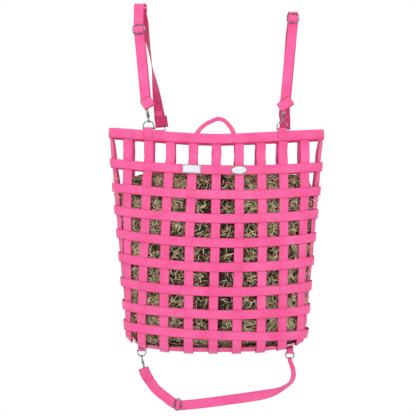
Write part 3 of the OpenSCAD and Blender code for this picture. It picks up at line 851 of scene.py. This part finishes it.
def hay_seats(draw, count, lowest):
    """Random places on the heap above a height, with the ways out of it and along it."""
    s = draw.uniform(0.02, 0.995, count * 3)
    turn = draw.uniform(0, 2 * np.pi, count * 3)
    here = hay_point(s, turn, STALK_INSET)
    up = hay_point(np.minimum(s + 0.01, 1.0), turn, STALK_INSET) - here
    round_ = hay_point(s, turn + 0.02, STALK_INSET) - here
    area = np.linalg.norm(np.cross(up, round_), axis=1)
    keep = (draw.random(count * 3) < area / np.percentile(area, 85)) & (here[:, 2] > lowest)
    index = np.flatnonzero(keep)[:count]
    out = unit(np.cross(round_[index], up[index]))
    return here[index], out, unit(up[index]), unit(round_[index])


def make_hay_stalks(groups):
    for number, (name, material, count, size, thick, bend, depth, flat, lowest) in enumerate(groups):
        draw = np.random.default_rng(SEED * 10 + number)
        here, out, up, level = hay_seats(draw, count, lowest)
        count = len(here)
        turn = draw.uniform(0, 2 * np.pi, (count, 1))
        way = level * np.cos(turn) + up * np.sin(turn)
        way = unit(way + out * draw.normal(0, 0.12, (count, 1)))
        start = here - out * draw.uniform(-1.0, depth, (count, 1))
        length = draw.uniform(0.45, 1.0, count) * size
        width = draw.uniform(0.6, 1.25, count) * thick / 2
        stalk_piece(name, material, stalk_mesh(draw, start, way, out, length, width, bend, flat))


def make_loose_straws(material):
    """A few straws that poke out between the straps at the bag's ends and low corners."""
    draw = np.random.default_rng(SEED + 5)
    # Side of the bag, height, spread in height and number of straws
    tufts = ((1, -535.0, 28.0, 16), (-1, -470.0, 18.0, 9), (-1, -880.0, 22.0, 12), (1, -700.0, 60.0, 7))
    grids = []
    for side, height, spread, count in tufts:
        z = draw.normal(height, spread, count)
        y = draw.uniform(-48, 10, count)
        start = np.stack([side * (plan_x(y, z, 0.0) - 6), y, z], axis=1)
        out = np.tile([float(side), -0.2, 0.0], (count, 1))
        way = unit(out + draw.normal(0, 0.7, (count, 3)))
        length = draw.uniform(18, 36, count)
        width = draw.uniform(0.5, 1.0, count)
        grids.append(stalk_mesh(draw, start, way, unit(np.cross(way, UP)), length, width, 0.6, 0.6))
    stalk_piece("loose_straws", material, np.concatenate(grids))


# ---- places along a snap or slide ----
def local_frame(u):
    """The X, Y and Z ways of a fitting whose own Z axis lies along u, as in the CAD."""
    turn = math.atan2(u[0], u[2])
    x = np.array([math.cos(turn), 0.0, -math.sin(turn)])
    return np.stack([x, np.cross(u, x), np.asarray(u)])


def placed(points, origin, u):
    """Points in a fitting's own frame, put in the row frame."""
    return origin + np.asarray(points, float) @ local_frame(u)


# ---- tabs, handle and labels ----
TAB_PATH = [(-4.9, -24.0), (-4.9, -9.0), (-4.5, -1.5), (-3.2, 2.4), (0.0, 4.0), (3.2, 2.4), (4.5, -1.5),
            (4.9, -9.0), (4.9, -24.0)]


def make_rim_tabs(material, thread):
    """Webbing loops over the binding, each round one D-ring's bar."""
    cloth = Parts()
    runs = []
    for bar in (LEFT_FRONT, LEFT_BACK, RIGHT_FRONT, RIGHT_BACK):
        path = smooth_path([bar + (0.0, y, z) for y, z in TAB_PATH], 1.6)
        strap(cloth, path, WEB_W - 0.6, RIGHT, t=1.4)
        for side in (-1, 1):
            face = [bar + (x, side * 5.75, z) for x, z in ((-10, -5), (10, -5), (10, -22), (-10, -22))]
            runs += box_runs(face, side * -FRONT)
    cloth.piece("rim_tab_webbing", material, "bag", ["rim_tabs"])
    stitch_piece("rim_tab_stitches", thread, "bag", runs, height=0.32)


# How far under the bag's bottom the small tabs' feet lie
TAB_DROP = 1.9


def make_bottom_tabs(material, thread):
    """Narrow webbing loops under the bag, each round one bottom D-ring's bar."""
    cloth = Parts()
    runs = []
    for bar in (BOTTOM_LEFT, BOTTOM_RIGHT):
        middle = (float(floor_z(bar[0], 0.0, 0.0)) - TAB_DROP - bar[2]) * 0.45
        edges = []
        for side in (-1, 1):
            x = bar[0] + side * TAB_W / 2
            rise = float(floor_z(x, 0.0, 0.0)) - TAB_DROP - bar[2]
            half = [(-21.0, rise), (-9.0, rise), (-4.6, 0.5 * rise + 0.5 * middle), (-3.1, 0.5 * middle),
                    (-2.7, -0.6), (-1.7, -2.4)]
            outline = half + [(0.0, -3.0)] + [(-y, z) for y, z in half[::-1]]
            edges.append(smooth_path([(x, bar[1] + y, bar[2] + z) for y, z in outline], 1.8))
        count = min(len(edges[0]), len(edges[1]))
        left, right = edges[0][:count], edges[1][:count]
        ribbon(cloth, left, right, edge_frame(left, right)[2], 1.3)
        for side in (-1, 1):
            y = bar[1] + side * np.array([11.0, 11.0, 19.0, 19.0])
            x = bar[0] + np.array([-7.0, 7.0, 7.0, -7.0])
            z = floor_z(x, np.zeros(4), 0.0) - 2.9
            runs += box_runs(list(np.stack([x, y, z], axis=1)), -UP)
    cloth.piece("bottom_tab_webbing", material, "bag", ["bottom_tabs"])
    stitch_piece("bottom_tab_stitches", thread, "bag", runs, 0.7, 0.3)


HANDLE_T = 4.6
# x, z and width along the handle
HANDLE_LINE = [(-54, -341.5, 13), (-50, -334, 12), (-44, -326, 11.5), (-35, -317.5, 11), (-24, -310.5, 11),
               (-12, -304.5, 11), (-2, -300.3, 11), (7, -298.8, 11), (16, -301, 11), (25, -307, 11),
               (34, -316.5, 11.5), (41, -326, 12), (45, -334, 12), (48, -342, 12)]


def make_handle(material, thread):
    """The carry handle: webbing folded lengthwise and sewn, with its ends pressed on the rim."""
    line = smooth_path([(x, -50.0, z, width) for x, z, width in HANDLE_LINE], 2.4)
    path, width = line[:, :3], line[:, 3]
    strap_piece("carry_handle_webbing", material, "handle", path, width, UP, ["carry_handle"], t=HANDLE_T)
    across = unit(np.cross(directions(path), FRONT))
    runs = []
    for side in (-1, 1):
        row = path + across * 1.4 - FRONT * side * 2.45
        runs += [(row[i], row[i] * 0.25 + row[i + 1] * 0.75, -FRONT * side) for i in range(2, len(row) - 3)]
    stitch_piece("carry_handle_stitches", thread, "handle", runs, width=0.9)


def label_place(points, middle, lean, roll):
    """Points on a label's own plane, leaned and rolled into place."""
    a = math.radians(lean)
    b = math.radians(roll)
    lean_by = np.array([[1, 0, 0], [0, math.cos(a), -math.sin(a)], [0, math.sin(a), math.cos(a)]])
    roll_by = np.array([[math.cos(b), 0, math.sin(b)], [0, 1, 0], [-math.sin(b), 0, math.cos(b)]])
    return np.asarray(points, float) @ (roll_by @ lean_by).T + middle


def plate(parts, outline, t, place):
    """A thin plate with softened edges."""
    m = len(outline)
    loops = []
    for shrink, height in ((0.5, 0.0), (0.0, 0.22), (0.0, t - 0.22), (0.5, t)):
        scale = 1 - shrink / np.abs(outline).max(0)
        loops.append(np.column_stack([outline * scale, np.full(m, height)]))
    points = np.concatenate(loops + [[[0.0, 0.0, 0.0]], [[0.0, 0.0, t]]])
    faces = [(r * m + i, r * m + (i + 1) % m, (r + 1) * m + (i + 1) % m, (r + 1) * m + i)
             for r in range(3) for i in range(m)]
    faces += [((i + 1) % m, i, 4 * m) for i in range(m)]
    faces += [(3 * m + i, 3 * m + (i + 1) % m, 4 * m + 1) for i in range(m)]
    parts.solid(place(points), faces)


def make_labels(cloth, border, metal):
    """A blank sewn rectangle and a blank oval plate with a metal rim, on the topmost ring strap."""
    level = -float(half_d(RING_Z[0])) - 3.4 - WEB_T / 2 - 0.4
    turn = np.linspace(0, 2 * np.pi, 72, endpoint=False)
    box = np.stack([25 * signed_power(np.cos(turn), 0.12), 11.5 * signed_power(np.sin(turn), 0.12)], axis=1)
    oval = np.stack([22 * np.cos(turn), 12 * np.sin(turn)], axis=1)
    for name, outline, middle, roll, trim in (
            ("label_rectangle", box, (-67.0, level, -435.0), 3.0, border),
            ("label_oval", oval, (60.5, level, -438.0), -2.0, metal)):
        def place(points):
            return label_place(points, np.array(middle), 81.0, roll)
        parts = Parts()
        plate(parts, outline, 0.9, place)
        parts.piece(name, cloth, "bag", ["front_labels"])
        edge = Parts()
        inner = outline * (1 - 1.1 / np.abs(outline).max(0))
        tube(edge, place(np.column_stack([inner, np.full(len(inner), 0.9)])), 0.9, True, 8)
        edge.piece(name + "_border", trim, "bag", ())


# ---- the hanging straps ----
LEFT_LOOP = np.array([-212.5, 0.0, 11.0])
RIGHT_LOOP = np.array([210.5, 0.0, -11.0])
# Legs from the loop down: x, y, z, and for a back leg the turn of its width
LEFT_LEG = [(-212.5, -11, 10), (-213, -15, -20), (-212.6, -19.2, -52), (-210.4, -22, -72), (-202, -33, -153),
            (-193, -45, -241), (-191.5, -46.7, -254)]
RIGHT_LEG = [(210.5, -11, -12), (198, -28.9, -133), (185.6, -46.7, -254)]
LEFT_BACK_LEG = [(-212.5, 11, 10, 0), (-212, 11.8, -3, 0), (-205, 14, -22, 14), (-196, 18.5, -50, 42),
                 (-188, 24, -90, 68), (-182, 30, -125, 82), (-176.5, 35, -160, 95), (-171, 40, -195, 120),
                 (-166, 43, -230, 145), (-161, 45, -265, 168), (-158, 45, -288, 180)]
RIGHT_BACK_LEG = [(210.5, 11, -12, 0), (210, 11.6, -24, 0), (206, 16, -60, 0), (202, 26, -120, 0),
                  (197, 36, -190, 0), (192.5, 43, -250, 0), (190, 45, -288, 0)]
NECK_W = 12.0
FLAP_W = 35.0
LEFT_SLIDE = np.array(LEFT_LEG[2], float)
LEFT_SLIDE_U = unit(LEFT_SLIDE - np.array(LEFT_LEG[-1], float))
RIGHT_SLIDE_U = unit(np.array(RIGHT_LEG[0], float) - np.array(RIGHT_LEG[-1], float))
RIGHT_SLIDE = np.array(RIGHT_LEG[0], float) - RIGHT_SLIDE_U * 9.0
SLIDE_GAP = WEB_T / 2 + 0.4 + WIRE_R


def back_tail(end, bar):
    """The sewn end of a back leg: down behind the ring's wire, under it and up again."""
    x, y, z = bar + UP * (RING_SIDE + RING_HALF)
    turn = ((-4.7, 3.0), (-3.8, -3.0), (0.0, -5.6), (3.8, -3.0), (4.7, 3.0))
    rows = [(end[0], y - 4.7, end[2], STRAP_W)]
    rows += [(x, y + dy, z + dz, NECK_W) for dy, dz in turn]
    return rows + [(x, y + 4.7, z + 22, STRAP_W)]


def make_hanging_strap(side, loop, leg, back_leg, bar, skew, pink, shade_pink):
    """One strap: up the front leg, over the loop and down the back leg to its D-ring."""
    r = LOOP_R + WEB_T / 2
    arc = [(loop[0] + skew * (1 - math.cos(a)) / 2, -r * math.cos(a), loop[2] + r * math.sin(a))
           for a in np.radians(np.linspace(8, 172, 12))]
    front = [(*p, STRAP_W, 0.0) for p in leg[::-1]] + [(*p, STRAP_W, 0.0) for p in arc]
    line = smooth_path(front, 3.0)
    wave = ripple(line[:, 2], 0.5, 200 + len(leg), 140.0)[:, None] * FRONT
    body = side + "_strap"
    strap_piece(body + "_front_webbing", pink, body, line[:, :3] + wave, line[:, 3], RIGHT,
                [body + "_loop", body + "_front_leg"], crown=0.25)
    rows = [(*arc[-1], STRAP_W, 0.0)]
    for x, y, z, turn in back_leg[:-1]:
        aside = skew * max(0.0, 1 - (loop[2] - z) / 60)
        rows.append((x + aside, y, z, STRAP_W, turn))
    rows += [(*row, back_leg[-1][3]) for row in back_tail(back_leg[-1], bar)]
    line = smooth_path(rows, 2.4)
    # The back leg is in the darker copy of the pink: painted shade
    strap_piece(body + "_back_webbing", shade_pink, body, line[:, :3], line[:, 3], RIGHT,
                [body + "_back_leg"], "inner_webbing", turn=line[:, 4])
    # The strap's second layer, behind the front leg and a little to its right, in the darker copy of the pink
    # as painted shade
    start = np.array(leg[2 if side == "left" else 0], float)
    end = np.array(leg[-1], float)
    second = [start + (end - start) * k + (2.0, 2.0, 0.0) for k in (0.09, 0.12, 0.4, 0.7, 0.95)]
    strap_piece(body + "_second_layer", shade_pink, body, smooth_path(second, 4.0), STRAP_W - 0.5, RIGHT,
                (), "inner_webbing", t=1.4)


def make_fold(side, eye, u, tilt, shift, size, pink, shade_pink, thread):
    """The strap's folded end in front of a snap's eye, and the neck of webbing through the eye."""
    t = math.radians(tilt)
    across = np.array([math.cos(t), 0.0, -math.sin(t)])
    up = np.array([math.sin(t), 0.0, math.cos(t)])
    middle = np.array([shift[0], 0.0, shift[1]])
    w, h = size[0] / 2, size[1] / 2

    def at(y, aside, height=0.0):
        return middle + across * aside + up * height + np.array([0.0, y, 0.0])

    rows = [at(-5.0, 3.0 - w), at(-5.3, 1.0 - w), at(-6.4, -w), at(-7.5, 1.2 - w), at(-8.2, -2.0),
            at(-7.8, 1.5), at(-7.9, w - 2.5), at(-7.4, w - 0.8), at(-6.4, w), at(-5.3, w - 1.0),
            at(-5.0, w - 3.0)]
    path = smooth_path(placed(rows, eye, u), 1.4)
    cloth = Parts()
    strap(cloth, path, size[1], up @ local_frame(u), t=1.5, crown=0.3)
    neck = [(0, -4.6, -6.6), (0, 0.0, -6.9), (0, 3.2, -5.6), (0, 4.0, 0.0), (0, 3.8, 24.0)]
    strap(cloth, smooth_path(placed(neck, eye, u), 1.6), 11.5, RIGHT, t=1.4)
    cloth.piece(side + "_fold_webbing", pink, side + "_strap", [side + "_strap_fold"])
    # A darker sheet under the fold, which shows as a dark edge above it and under it: painted shadow
    rows = [at(-5.6, 1.5 - w), at(-5.9, 0.0), at(-5.6, w - 1.5)]
    strap_piece(side + "_fold_painted_shadow", shade_pink, side + "_strap", smooth_path(placed(rows, eye, u), 2.0),
                size[1] + 3.0, up @ local_frame(u), (), "inner_webbing", t=1.2)
    runs = []
    for end, height in ((4 - w, h - 4), (w - 4, 3.5 - h)):
        row = placed([at(-8.9, end, height), at(-8.9, -end, height)], eye, u)
        runs += line_runs(*row, FRONT)
    stitch_piece(side + "_fold_stitches", thread, side + "_strap", runs, 0.9, 0.5)


def make_back_flaps(pink, flap, thread):
    """The wide folded ends of the back legs, in front of their D-rings, in the darker pink as painted shade,
    and the left leg's bar tack.
    """
    for side, top, low, width in (("left", (-156.0, 43.0, -284.0), (-151.5, 42.0, -312.0), FLAP_W),
                                  ("right", (191.5, 43.0, -280.0), (192.5, 42.6, -318.5), 30.0)):
        top, low = np.array(top), np.array(low)
        middle = (top + low) / 2 + FRONT * 0.8
        rows = [top, middle, low, low + (0.5, 1.2, -1.8), low + (0.6, 2.6, 0.4)]
        strap_piece(side + "_back_flap", flap, side + "_strap", smooth_path(rows, 1.8), width,
                    (1.0, 0.0, 0.12), (), "inner_webbing", t=1.5, crown=0.6)
    tack = [(-171.0, 43.4, -276.0), (-166.0, 42.4, -276.6), (-155.0, 42.4, -277.4), (-150.0, 43.4, -278.0)]
    strap_piece("left_strap_keeper", pink, "left_strap", smooth_path(tack, 1.6), 16.0, UP, t=1.4)
    face = [np.array([x, 41.4, z]) for x, z in ((-168, -270), (-153, -271), (-153, -284), (-168, -283))]
    stitch_piece("left_keeper_stitches", thread, "left_strap", box_runs(face, FRONT))


# ---- slides ----
def rounded(points, times=3):
    """A closed outline with its corners cut again and again until they are round."""
    p = np.asarray(points, float)
    for _ in range(times):
        after = np.roll(p, -1, 0)
        p = np.stack([p * 0.75 + after * 0.25, p * 0.25 + after * 0.75], axis=1).reshape(-1, 3)
    return p


def make_slide(side, place, u, half_h, metal, pink):
    """A three-bar slide with cut corners, and the webbing that folds over its middle bar."""
    a, b, cut = SLIDE_INNER_W / 2 + WIRE_R, half_h, 5.5
    outline = []
    for sx, sz in ((1, 1), (-1, 1), (-1, -1), (1, -1)):
        corner = [(sx * a, -SLIDE_GAP, sz * (b - cut)), (sx * (a - cut), -SLIDE_GAP, sz * b)]
        outline += corner if sx * sz > 0 else corner[::-1]
    wire = Parts()
    tube(wire, placed(rounded(outline), place, u), WIRE_R, True, 12)
    bar = [(x, -SLIDE_GAP, 0.0) for x in np.linspace(-a, a, 9)]
    tube(wire, placed(bar, place, u), WIRE_R)
    wire.piece(side + "_slide_wire", metal, side + "_slide", [side + "_slide_frame"])
    foot = half_h - 3.2
    half = [(-2.2, foot), (-2.6, foot * 0.72), (-4.4, foot * 0.36)]
    rows = [(0, y, z) for y, z in half] + [(0, -5.3, 0.0)] + [(0, y, -z) for y, z in half[::-1]]
    strap_piece(side + "_slide_webbing", pink, side + "_slide", smooth_path(placed(rows, place, u), 1.2),
                STRAP_W, local_frame(u)[0], [side + "_slide_wrap"], t=1.5)


# ---- the bottom strap ----
# From the snap's eye to the right D-ring: x, y, z, then with its width and the turn of its width
BOTTOM_RUN = [
    (-201.4, -4.4, -979.4), (-197.4, -4.4, -990.7), (-192.3, -4, -1001.9), (-185.1, -2, -1013.1),
    (-177, 0, -1024.3), (-166.8, 0, -1037.6), (-154.5, 0, -1048.8), (-141.3, 0, -1059),
    (-126, 0, -1071.2), (-105.6, 0, -1082.4), (-77, 0, -1081.4), (-28, 0, -1076.3), (32, 0, -1068.2),
    (92, 0, -1060)]
BOTTOM_LINE = [(*place, STRAP_W, 0) for place in BOTTOM_RUN] + [
    (133, 0, -1053, 27, 10), (161.5, 0, -1045.7, 25, 30), (187, 0, -1033.5, 22, 50),
    (204.4, 0, -1020.2, 20, 50), (211.5, 0, -1005, 19, 40), (211.5, 0, -986.6, 17, 40),
    (208, -1, -975, 14, 20), (205, -2.4, -966.5, 11, 0), (202, -3.8, -960, 10, 0)]
BOTTOM_END = [(-3.6, -954.5), (-2.4, -952.1), (0.0, -951.0), (2.4, -952.1), (3.6, -954.5), (3.8, -960.0)]
BOTTOM_SLIDE = np.array([-105.6, 0.0, -1080.5])
BOTTOM_SLIDE_U = unit([1.0, 0.0, -0.12])


def make_bottom_strap(pink, thread):
    rows = [(*row, 0.0) for row in BOTTOM_LINE[:-1]] + [(*BOTTOM_LINE[-1], 1.0)]
    rows += [(202.0, y, z, 10.0, 0.0, 1.0) for y, z in BOTTOM_END] + [(204.0, 3.6, -968.0, 10.0, 0.0, 1.0)]
    line = smooth_path(rows, 2.6)
    path, width, turn, end = line[:, :3], line[:, 3], np.radians(line[:, 4])[:, None], line[:, 5:6]
    d = directions(path)
    flat = np.stack([d[:, 2], np.zeros(len(d)), -d[:, 0]], axis=1)
    lead = flat * np.cos(turn) + np.cross(d, flat) * np.sin(turn)
    lead = unit(lead * (1 - end) + RIGHT * end)
    strap_piece("bottom_strap_cloth", pink, "bottom_strap", path, width, lead, ["bottom_strap_webbing"])
    # The sewn end: through the snap's eye, and a second layer on the strap's first stretch
    cloth = Parts()
    neck = [(0, -4.0, 12, 20), (0, -3.8, 2, 16), (0, -2.6, -3.6, 12), (0, 0, -4.8, 12), (0, 2.4, -4.0, 12),
            (0, 3.2, 0, 14), (0, 3.2, 16, 20)]
    line = smooth_path([(*placed(row[:3], BOTTOM_EYE, BOTTOM_SNAP_U), row[3]) for row in neck], 1.6)
    strap(cloth, line[:, :3], line[:, 3], RIGHT, t=1.4)
    second = smooth_path([(x + 1.5, y - 1.9, z) for x, y, z in BOTTOM_RUN[:4]], 2.6)
    d = directions(second)
    strap(cloth, second, STRAP_W + 1.5, np.stack([d[:, 2], 0 * d[:, 0], -d[:, 0] + 0.18], axis=1), t=1.5)
    cloth.piece("bottom_strap_fold_webbing", pink, "bottom_strap", ["bottom_strap_fold"])
    runs = []
    for k in (0.3, 0.8):
        i = int(k * (len(second) - 1))
        way = d[i]
        side = np.array([way[2], 0.0, -way[0]]) * 10.5
        middle = second[i] + FRONT
        corners = [middle + way * a + side * b for a, b in ((-5, -1), (-5, 1), (5, 1), (5, -1))]
        runs += box_runs(corners, FRONT)
    stitch_piece("bottom_strap_stitches", thread, "bottom_strap", runs)


def make_floor():
    """A pale round floor well under the bag, below the camera's view."""
    turn = np.linspace(0, 2 * np.pi, 96, endpoint=False)
    mesh = bpy.data.meshes.new("floor")
    rim = [(FLOOR_R * math.cos(a), FLOOR_R * math.sin(a), FLOOR_Z) for a in turn]
    mesh.from_pydata(rim, [], [tuple(range(len(rim)))])
    mesh.materials.append(floor_material())
    floor = bpy.data.objects.new("floor", mesh)
    bpy.context.scene.collection.objects.link(floor)


# ---- build ----
PINK_LIGHT = (0.84, 0.125, 0.335)
PINK_BODY = (0.78, 0.08, 0.26)
PINK_EDGE = (0.72, 0.04, 0.17)
# A darker copy of the pink: painted shade for the back legs, the second layers, the sheets under the folds
# and the back flaps
SHADE_PINK_LIGHT = (0.66, 0.05, 0.19)
SHADE_PINK_BODY = (0.52, 0.03, 0.13)
SHADE_PINK_EDGE = (0.4, 0.012, 0.07)

make_camera()
make_world(1.0)
make_light("key", (-1.3, -2.4, 1.2), (0.0, 0.0, -0.6), 1.4, 26.0)
make_light("fill", (1.9, -1.8, -0.3), (0.0, 0.0, -0.6), 1.6, 9.0)

pink = webbing_material("pink_webbing", PINK_LIGHT, PINK_BODY, PINK_EDGE, WEB_W)
pink_wide = webbing_material("pink_strap_webbing", PINK_LIGHT, PINK_BODY, PINK_EDGE, STRAP_W)
pink_narrow = webbing_material("pink_tab_webbing", PINK_LIGHT, PINK_BODY, PINK_EDGE, TAB_W)
# The darker copies of the pink are painted shade
shade_pink = webbing_material("painted_shade_pink_webbing", SHADE_PINK_LIGHT, SHADE_PINK_BODY, SHADE_PINK_EDGE, STRAP_W)
flap = webbing_material("painted_shade_flap_webbing", SHADE_PINK_LIGHT, SHADE_PINK_BODY, SHADE_PINK_EDGE, FLAP_W)
thread = thread_material("pink_thread", (0.8, 0.09, 0.28), (0.6, 0.04, 0.16))
seam = thread_material("dark_seam_thread", (0.4, 0.02, 0.1), (0.25, 0.012, 0.06))
nickel = nickel_material("polished_nickel")
label = label_material("label_cloth", (0.56, 0.58, 0.61), (0.72, 0.73, 0.75))
label_trim = label_material("label_border", (0.22, 0.26, 0.36), (0.38, 0.42, 0.52))
# The heap's core is near black: painted shade deep in the hay
hay_core_shade = hay_material("hay_core", (0.016, 0.009, 0.006), (0.04, 0.025, 0.015), (0.08, 0.05, 0.03), 0.95)
hay_tan = hay_material("hay_tan", (0.13, 0.085, 0.045), (0.38, 0.28, 0.155), (0.62, 0.5, 0.32))
hay_olive = hay_material("hay_olive", (0.12, 0.1, 0.05), (0.3, 0.25, 0.14), (0.48, 0.42, 0.26))
hay_pale = hay_material("hay_pale", (0.46, 0.36, 0.21), (0.7, 0.58, 0.38), (0.88, 0.78, 0.56))
hay_rust = hay_material("hay_rust", (0.13, 0.045, 0.02), (0.3, 0.13, 0.065), (0.46, 0.26, 0.14))

make_rings(pink)
make_uprights(pink)
make_end_straps(pink)
make_binding(pink)
make_stitching(thread)
make_rim_tabs(pink, thread)
make_bottom_tabs(pink_narrow, thread)
make_handle(pink, seam)
make_labels(label, label_trim, nickel)
make_hanging_strap("left", LEFT_LOOP, LEFT_LEG, LEFT_BACK_LEG, LEFT_BACK, 8.0, pink_wide, shade_pink)
make_hanging_strap("right", RIGHT_LOOP, RIGHT_LEG, RIGHT_BACK_LEG, RIGHT_BACK, 0.0, pink_wide, shade_pink)
make_fold("left", LEFT_EYE, LEFT_SNAP_U, -20.0, (4.0, -6.0), (30.0, 27.0), pink_wide, shade_pink, thread)
make_fold("right", RIGHT_EYE, RIGHT_SNAP_U, -43.0, (2.0, -6.5), (40.0, 25.0), pink_wide, shade_pink, thread)
make_back_flaps(pink_wide, flap, thread)
make_slide("left", LEFT_SLIDE, LEFT_SLIDE_U, 13.0, nickel, pink_wide)
make_slide("right", RIGHT_SLIDE, RIGHT_SLIDE_U, 13.0, nickel, pink_wide)
make_slide("bottom", BOTTOM_SLIDE, BOTTOM_SLIDE_U, 9.0, nickel, pink_wide)
make_bottom_strap(pink_wide, thread)
make_hay_core(hay_core_shade)
# Each group: name, material, count, length, thickness, bend, depth under the heap's skin, flatness
# and lowest place
make_hay_stalks([
    ("hay_stalks_dark", hay_rust, 2400, 27.0, 2.6, 0.5, 8.0, 0.6, BOTTOM_Z),
    ("hay_stalks_olive", hay_olive, 4200, 27.0, 2.4, 0.5, 4.5, 0.6, BOTTOM_Z),
    ("hay_stalks_tan", hay_tan, 5600, 28.0, 2.2, 0.55, 3.0, 0.6, BOTTOM_Z),
    ("hay_stalks_pale", hay_pale, 5200, 27.0, 2.0, 0.6, 1.5, 0.6, BOTTOM_Z),
    ("hay_leaves", hay_olive, 260, 40.0, 7.0, 0.7, 1.0, 0.12, BOTTOM_Z),
    ("hay_rust_top", hay_rust, 900, 30.0, 2.8, 0.8, 1.0, 0.6, -478.0)])
make_loose_straws(hay_pale)
make_floor()

for node_name, node_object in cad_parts.items():
    if any(word in node_name for word in ("_ring", "_snap_")):
        node_object.data.materials.clear()
        node_object.data.materials.append(nickel)
